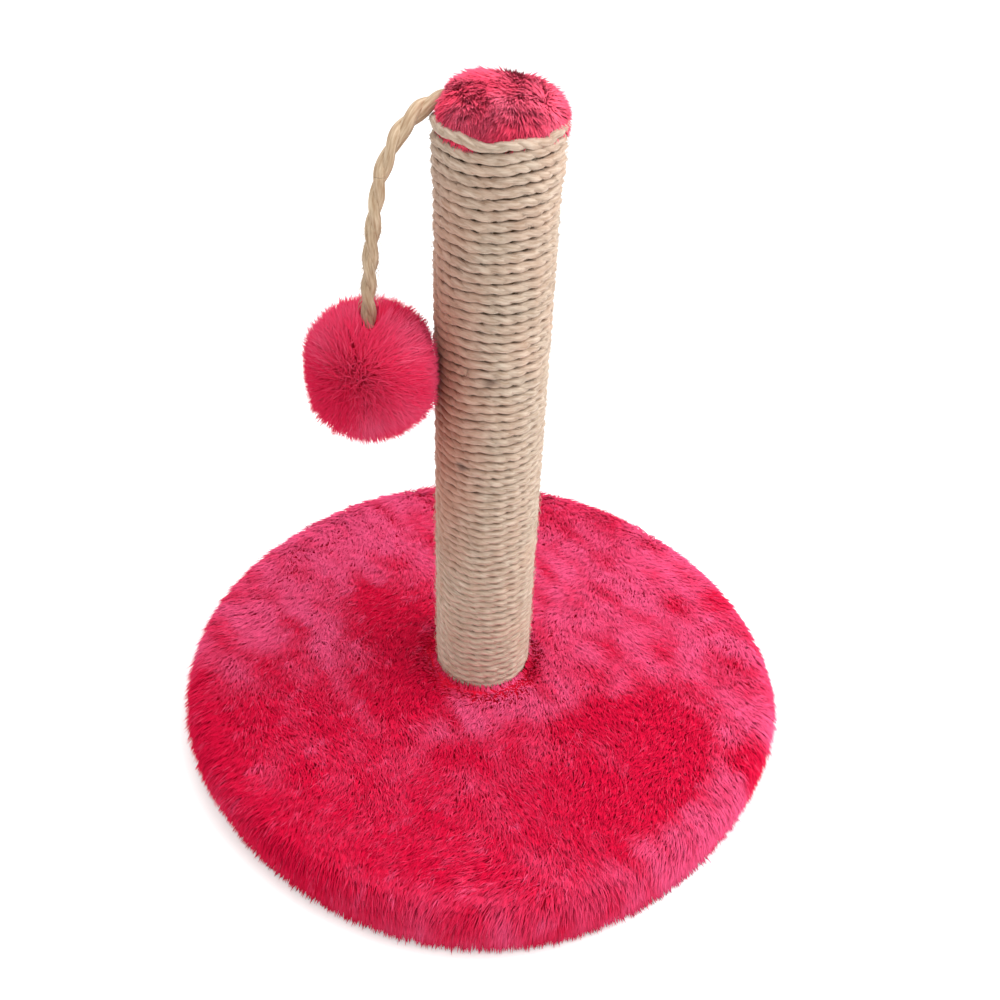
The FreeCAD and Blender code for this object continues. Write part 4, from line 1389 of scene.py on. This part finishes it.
@dataclass
class HangingCord:
    """The two-ply cord from the cap to the pompom, in two pieces that meet between its hinges."""

    diameter: float = 0.0082
    ply_radius: float = 0.00256
    ply_offset: float = 0.00124
    lay: float = 0.029
    step: float = 0.0005
    sides: int = 14
    bend_reach: float = 0.006

    def points(self) -> np.ndarray:
        """Even points read from the route's smooth line.

        Returns:
            Rows of x, y and z.
        """
        curve = bpy.data.curves.new("cord_route", "CURVE")
        curve.dimensions = "3D"
        curve.resolution_u = 32
        spline = curve.splines.new("NURBS")
        spline.points.add(len(CORD_ROUTE_MM) - 1)
        for point, (x, y, z) in zip(spline.points, CORD_ROUTE_MM):
            point.co = (x * MM, y * MM, z * MM, 1.0)
        spline.order_u = 3
        spline.use_endpoint_u = True
        holder = bpy.data.objects.new("cord_route", curve)
        bpy.context.scene.collection.objects.link(holder)
        bpy.context.view_layer.update()
        line = bpy.data.meshes.new_from_object(holder)
        raw = np.array([vert.co[:] for vert in line.vertices])
        bpy.data.objects.remove(holder)
        bpy.data.meshes.remove(line)
        bpy.data.curves.remove(curve)
        along = travelled(raw)
        even = np.arange(0, along[-1], self.step)
        return np.stack([np.interp(even, along, raw[:, axis]) for axis in range(3)], axis=1)

    def plies(self, line: np.ndarray) -> list[np.ndarray]:
        """The two plies' middle lines.

        Args:
            line: The cord's middle line.

        Returns:
            Two arrays of points.
        """
        way = unit(np.gradient(line, axis=0))
        side = np.tile(np.array([[0.0, 1.0, 0.0]]), (len(line), 1))
        side = unit(square_to(side, way))
        turn = -np.arange(len(line)) * self.step / self.lay * math.tau
        return twisted_pair(line, side, turn, self.ply_offset, start=0.4)

    def build(self) -> np.ndarray:
        """Returns:
            The cord's middle line, for the pieces round it.
        """
        material = JUTE_CORD.material()
        line = self.points()
        joints = frame["record"]["behaviour"]["joints"]
        hinges = {joint["name"]: np.array(joint["pos_m"]) for joint in joints if "pos_m" in joint}
        swing = int(np.argmin(np.linalg.norm(line - hinges["toy_swing"], axis=1)))
        sway = int(np.argmin(np.linalg.norm(line - hinges["toy_sway"], axis=1)))
        between = (swing + sway) // 2
        plies = self.plies(line)
        knot = self.knot(line[-1], material)
        spans = (
            ("cord_arch", 0, between + 1, "stand", "cord_link", swing,
             ("toy_cord_upper", "toy_cord_link")),
            ("cord_drop", between, len(line), "cord_link", "cord_drop", sway, ("toy_cord_lower",)),
        )
        for name, begin, end, above, below, hinge, nodes in spans:
            strands = []
            for number, ply in enumerate(plies):
                stretch = ply[begin:end]
                radius = self.ply_radius * (1 + 0.06 * Ripple(91 + number, 0.012).at(stretch))
                radius *= 1 + 0.16 * smooth_step(stretch[:, 2], 0.355, 0.379)
                strands.append(swept_tube(f"{name}_ply", stretch, radius, self.sides))
            piece = new_piece(name, joined(name, strands), material)
            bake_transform(piece)
            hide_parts(*nodes)
        self.loose_fibres(line, material)
        return line

    def knot(self, end: np.ndarray, material: bpy.types.Material) -> bpy.types.Object:
        """The knot under the cord's end, inside the pompom.

        Args:
            end: The cord's last point; not used.
            material: The cord's finish.

        Returns:
            The piece.
        """
        low = Vector(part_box("cord_knot")[0])
        high = Vector(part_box("cord_knot")[1])
        middle = (low + high) / 2
        turn = np.linspace(0, math.tau, 160, endpoint=False)
        girth = 0.0031
        across = (high.x - low.x) / 2 - girth
        shape = np.stack((np.sin(turn) + 2 * np.sin(2 * turn), np.cos(turn) - 2 * np.cos(2 * turn),
                          -np.sin(3 * turn)), axis=1) / 3
        shape[:, 2] *= 2.2
        path = shape * np.array([across, across, (high.z - low.z) / 2 - girth]) + np.array(middle[:])
        path = np.concatenate((path, path[:2]))
        mesh = swept_tube("toy_knot", path, np.full(len(path), girth), 12)
        piece = new_piece("toy_knot", mesh, material)
        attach(piece, "cord_drop")
        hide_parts("cord_knot")
        return piece

    def loose_fibres(self, line: np.ndarray, material: bpy.types.Material) -> None:
        """A few fibres that stand off the straight part of the cord.

        Args:
            line: The cord's middle line.
            material: The cord's finish.
        """
        random = np.random.default_rng(95)
        low = int(0.092 / self.step)
        count = 260
        pick = random.integers(low, len(line) - 40, count)
        way = unit(line[pick + 1] - line[pick - 1])
        out = unit(square_to(random.normal(size=(count, 3)), way))
        blank = np.zeros(count)
        fuzz = Tufts(line[pick] + out * 0.0030, out, way, random.uniform(0.003, 0.007, count),
                     np.radians(random.uniform(50, 82, count)), np.full(count, 0.00018), blank, blank)
        piece = new_piece("cord_fibres", fuzz.mesh("cord_fibres", 0.004, 0.0, 96), material)
        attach(piece, "cord_drop")


# ---------------------------------------------------------------- pompom

@dataclass
class Pompom:
    """The plush ball: stuffing, skin and long pile that parts from its front."""

    middle: Vector = field(default_factory=lambda: (POMPOM_LOW + POMPOM_HIGH) / 2)
    skin_radius: float = 0.0250
    tuft_count: int = 21500
    tuft_length: float = 0.0172
    tuft_width: float = 0.00094
    parting: Point = (-0.558, -0.827, 0.081)
    post_reach: float = TUBE_RADIUS + 0.0052
    turn_reach: float = 0.0353
    cord_clear: float = 0.0046
    clump: float = 0.0045
    pull: float = 0.18
    softness: float = 0.78
    furrow: Point = (0.158, 0.519, 0.839)
    furrow_side: Point = (0.980, -0.185, -0.070)

    def ball(self, name: str, radius: float, seed: int, material: bpy.types.Material) -> bpy.types.Object:
        """A lumpy ball round the pompom's middle.

        Args:
            name: The piece's name.
            radius: Its radius.
            seed: The random seed of its lumps.
            material: Its finish.

        Returns:
            The piece.
        """
        lump = bmesh.new()
        bmesh.ops.create_icosphere(lump, subdivisions=5, radius=radius)
        mesh = made_mesh(name, lump)
        places = places_of(mesh)
        places *= 1 + 0.03 * Ripple(seed, 0.016).at(places)[:, None]
        places += np.array(self.middle[:])
        mesh.vertices.foreach_set("co", places.reshape(-1))
        shade_smooth(mesh)
        piece = new_piece(name, mesh, material)
        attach(piece, "pompom")
        return piece

    def pile(self) -> Tufts:
        """The ball's tufts.

        Returns:
            The tufts.
        """
        random = np.random.default_rng(101)
        outward = unit(random.normal(size=(self.tuft_count, 3)))
        middle = np.array(self.middle[:])
        roots = middle + outward * (self.skin_radius - 0.001)
        pole = unit(np.array([self.parting]))[0]
        leans = square_to(outward - pole, outward)
        leans = unit(leans + np.array([[0, 0, -0.25]]) + random.normal(0, 0.34, leans.shape))
        leans = unit(square_to(leans, outward))
        tilts = np.radians(30 + 22 * smooth_step(-(outward @ pole), -1.0, -0.6))
        tilts += np.radians(random.normal(0, 8, self.tuft_count))
        lengths = self.tuft_length * random.uniform(0.78, 1.12, self.tuft_count)
        # Painted sheen on the ball, taken away on its left front as painted shade.
        dark = unit(np.array([[-0.752, -0.654, -0.085]]))[0]
        painted_sheen = 0.50 + 0.30 * Ripple(102, 0.016).at(roots)
        painted_sheen = painted_sheen - 0.75 * smooth_step(outward @ dark, 0.78, 0.98)
        painted_sheen = np.clip(painted_sheen + random.normal(0, 0.1, self.tuft_count), 0, 1)
        widths = self.tuft_width * random.uniform(0.6, 1.2, self.tuft_count)
        tufts = Tufts(roots, outward, leans, lengths, tilts, widths,
                      random.uniform(0, 1, self.tuft_count), painted_sheen, self.softness)
        for _ in range(9):
            tips = tufts.bent_line(1.0)
            struck = np.hypot(tips[:, 0] - POST_X, tips[:, 1] - POST_Y) < self.post_reach
            struck |= np.hypot(tips[:, 0] - middle[0], tips[:, 1] - middle[1]) > self.turn_reach
            tufts.lengths = np.where(struck, tufts.lengths * 0.88, tufts.lengths)
        near_cord = np.zeros(self.tuft_count, dtype=bool)
        for share in (0.0, 0.35, 0.7, 1.0):
            from_middle = tufts.bent_line(share) - middle
            aside = np.hypot(from_middle[:, 0], from_middle[:, 1])
            near_cord |= (aside < self.cord_clear) & (from_middle[:, 2] > 0)
            depth = np.clip((from_middle @ np.array(self.furrow) - 0.0205) / 0.005, 0.0, 1.0)
            in_furrow = np.abs(from_middle @ np.array(self.furrow_side)) < 0.0040 * np.sqrt(depth)
            near_cord |= in_furrow & (from_middle[:, 1] < 0)
        return tufts.chosen(~near_cord)

    def build(self) -> None:
        """Make the pompom."""
        core = self.ball("pompom_stuffing", 0.0215, 103, STUFFING.material())
        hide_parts("pompom_core")
        skin = self.ball("pompom_skin", self.skin_radius, 104, POMPOM_BACKING.material())
        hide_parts("pompom_plush")
        mesh = self.pile().mesh("pompom_pile", self.clump, self.pull, 105)
        piece = new_piece("pompom_pile", mesh, POMPOM_PILE.material())
        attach(piece, "pompom")


# ---------------------------------------------------------------- studio

@dataclass(frozen=True)
class Studio:
    """The floor, the lamps and the camera at the photograph's angle."""

    camera_place: Point = (-0.1253, -0.4298, 0.5359)
    camera_down: float = 39.86
    camera_heading: float = 16.93
    camera_roll: float = 2.46
    lens: float = 36.86
    ambient: float = 1.0
    lamp_power: float = 11.0
    floor_lift: float = 0.18
    floor_gap: float = 0.0004
    floor_opening: float = 0.168
    floor_radius: float = 6.0

    def build(self) -> None:
        """Make the stage, the light and the camera."""
        self.floor()
        self.world()
        self.lamps()
        self.camera()
        settings = bpy.context.scene.view_settings
        settings.view_transform = "Standard"

    def seen_ray(self, graph: Graph) -> Socket:
        """Which rays see the white background, directly, in a gloss or through glass.

        Args:
            graph: The nodes to add to.

        Returns:
            The socket of 1 for those rays and 0 for the rest.
        """
        path = graph.add("ShaderNodeLightPath")
        seen = graph.math("MAXIMUM", path.outputs["Is Camera Ray"], path.outputs["Is Glossy Ray"])
        return graph.math("MAXIMUM", seen, path.outputs["Is Transmission Ray"])

    def floor(self) -> None:
        """A plain pale floor, open under the base so that the underside can be seen from below."""
        slab = bmesh.new()
        for radius in (self.floor_opening, self.floor_radius):
            bmesh.ops.create_circle(slab, segments=128, radius=radius, cap_ends=False)
        bmesh.ops.bridge_loops(slab, edges=slab.edges[:])
        bmesh.ops.translate(slab, verts=slab.verts, vec=(0.0, 0.0, -self.floor_gap))
        bmesh.ops.recalc_face_normals(slab, faces=slab.faces)
        mesh = made_mesh("floor", slab)
        material, graph = new_material("floor_paint")
        paint = graph.principled({
            "Base Color": (0.93, 0.93, 0.93, 1.0), "Roughness": 0.9, "Specular IOR Level": 0.1})
        lift = graph.add("ShaderNodeEmission")
        graph.join(graph.math("MULTIPLY", self.seen_ray(graph), self.floor_lift), lift.inputs["Strength"])
        both = graph.add("ShaderNodeAddShader")
        graph.join(paint.outputs[0], both.inputs[0])
        graph.join(lift.outputs[0], both.inputs[1])
        graph.put_out(both.outputs[0])
        mesh.materials.append(material)
        floor = bpy.data.objects.new("floor", mesh)
        bpy.context.scene.collection.objects.link(floor)

    def world(self) -> None:
        """Even light from all round, and white behind the object."""
        world = bpy.data.worlds.new("studio")
        bpy.context.scene.world = world
        world.use_nodes = True
        graph = Graph(world.node_tree)
        soft = graph.add("ShaderNodeBackground")
        soft.inputs["Color"].default_value = (1.0, 0.99, 0.98, 1.0)
        soft.inputs["Strength"].default_value = self.ambient
        white = graph.add("ShaderNodeBackground")
        white.inputs["Color"].default_value = (1.0, 1.0, 1.0, 1.0)
        white.inputs["Strength"].default_value = 1.0
        mixed = graph.add("ShaderNodeMixShader")
        graph.join(self.seen_ray(graph), mixed.inputs[0])
        graph.join(soft.outputs[0], mixed.inputs[1])
        graph.join(white.outputs[0], mixed.inputs[2])
        out = graph.add("ShaderNodeOutputWorld")
        graph.join(mixed.outputs[0], out.inputs["Surface"])

    def lamps(self) -> None:
        """A broad lamp above on the right, and a weaker one in front."""
        for name, place, size, share in (
            ("lamp_right", (0.75, -0.25, 1.05), 0.9, 1.0),
            ("lamp_top", (-0.1, 0.5, 1.3), 1.1, 0.45),
        ):
            lamp = bpy.data.lights.new(name, "AREA")
            lamp.energy = self.lamp_power * share
            lamp.size = size
            holder = bpy.data.objects.new(name, lamp)
            way = Vector((0.0, 0.0, 0.12)) - Vector(place)
            holder.rotation_euler = way.to_track_quat("-Z", "Y").to_euler()
            holder.location = place
            bpy.context.scene.collection.objects.link(holder)

    def camera(self) -> None:
        """The camera, with the photograph's height, tilt and roll."""
        camera = bpy.data.cameras.new("camera")
        camera.lens = self.lens
        camera.sensor_width = 36.0
        camera.clip_start = 0.01
        camera.clip_end = 50.0
        holder = bpy.data.objects.new("camera", camera)
        turn = Matrix.Rotation(-math.radians(self.camera_heading), 4, "Z")
        turn = turn @ Matrix.Rotation(math.radians(90 - self.camera_down), 4, "X")
        turn = turn @ Matrix.Rotation(math.radians(self.camera_roll), 4, "Z")
        holder.matrix_world = Matrix.Translation(self.camera_place) @ turn
        bpy.context.scene.collection.objects.link(holder)
        bpy.context.scene.camera = holder


# Patches of painted light on the base's pile: positive strengths paint sheen, negative ones paint shade,
# the post's shadow among them.
BASE_PAINTED_LIGHT_PATCHES = (
    PaintedLightPatch(100, 48, 100, 78, 0, 0.80),
    PaintedLightPatch(152, -20, 32, 34, 0, 0.45),
    PaintedLightPatch(-72, 150, 78, 26, 20, 0.75),
    PaintedLightPatch(-147, 72, 36, 24, 20, 0.70),
    PaintedLightPatch(-94, 42, 14, 38, 4, 0.75),
    PaintedLightPatch(-98, 98, 58, 30, 38, 0.55),
    PaintedLightPatch(-26, 122, 40, 28, 0, 0.50),
    PaintedLightPatch(8, -35, 38, 14, 0, 1.35),
    PaintedLightPatch(-34, -47, 24, 9, 8, 0.50),
    PaintedLightPatch(134, -69, 13, 24, 10, 0.50),
    PaintedLightPatch(159, -84, 14, 32, 60, 0.50),
    PaintedLightPatch(164, 17, 17, 11, 30, -0.60),
    PaintedLightPatch(100, -78, 20, 16, 0, -0.95),
    PaintedLightPatch(68, -117, 30, 16, 10, -1.00),
    PaintedLightPatch(136, -108, 20, 11, 50, -1.40),
    PaintedLightPatch(33, -34, 7, 9, 0, -0.85),
    PaintedLightPatch(77, -55, 40, 10, 5, -0.75),
    PaintedLightPatch(-44, -18, 16, 16, 0, -0.50),
    PaintedLightPatch(-49, 37, 18, 42, 0, -0.55),
)


def main() -> None:
    """Build the whole post."""
    logging.basicConfig(level=logging.INFO, format="%(name)s: %(message)s")
    Studio().build()
    dress_hidden_nodes()
    cord_line = HangingCord().build()
    WoundTwine().build()
    PlushCap().build(cord_line)
    Pompom().build()
    PlushBase(patches=BASE_PAINTED_LIGHT_PATCHES).build()


if __name__ == "__main__":
    main()
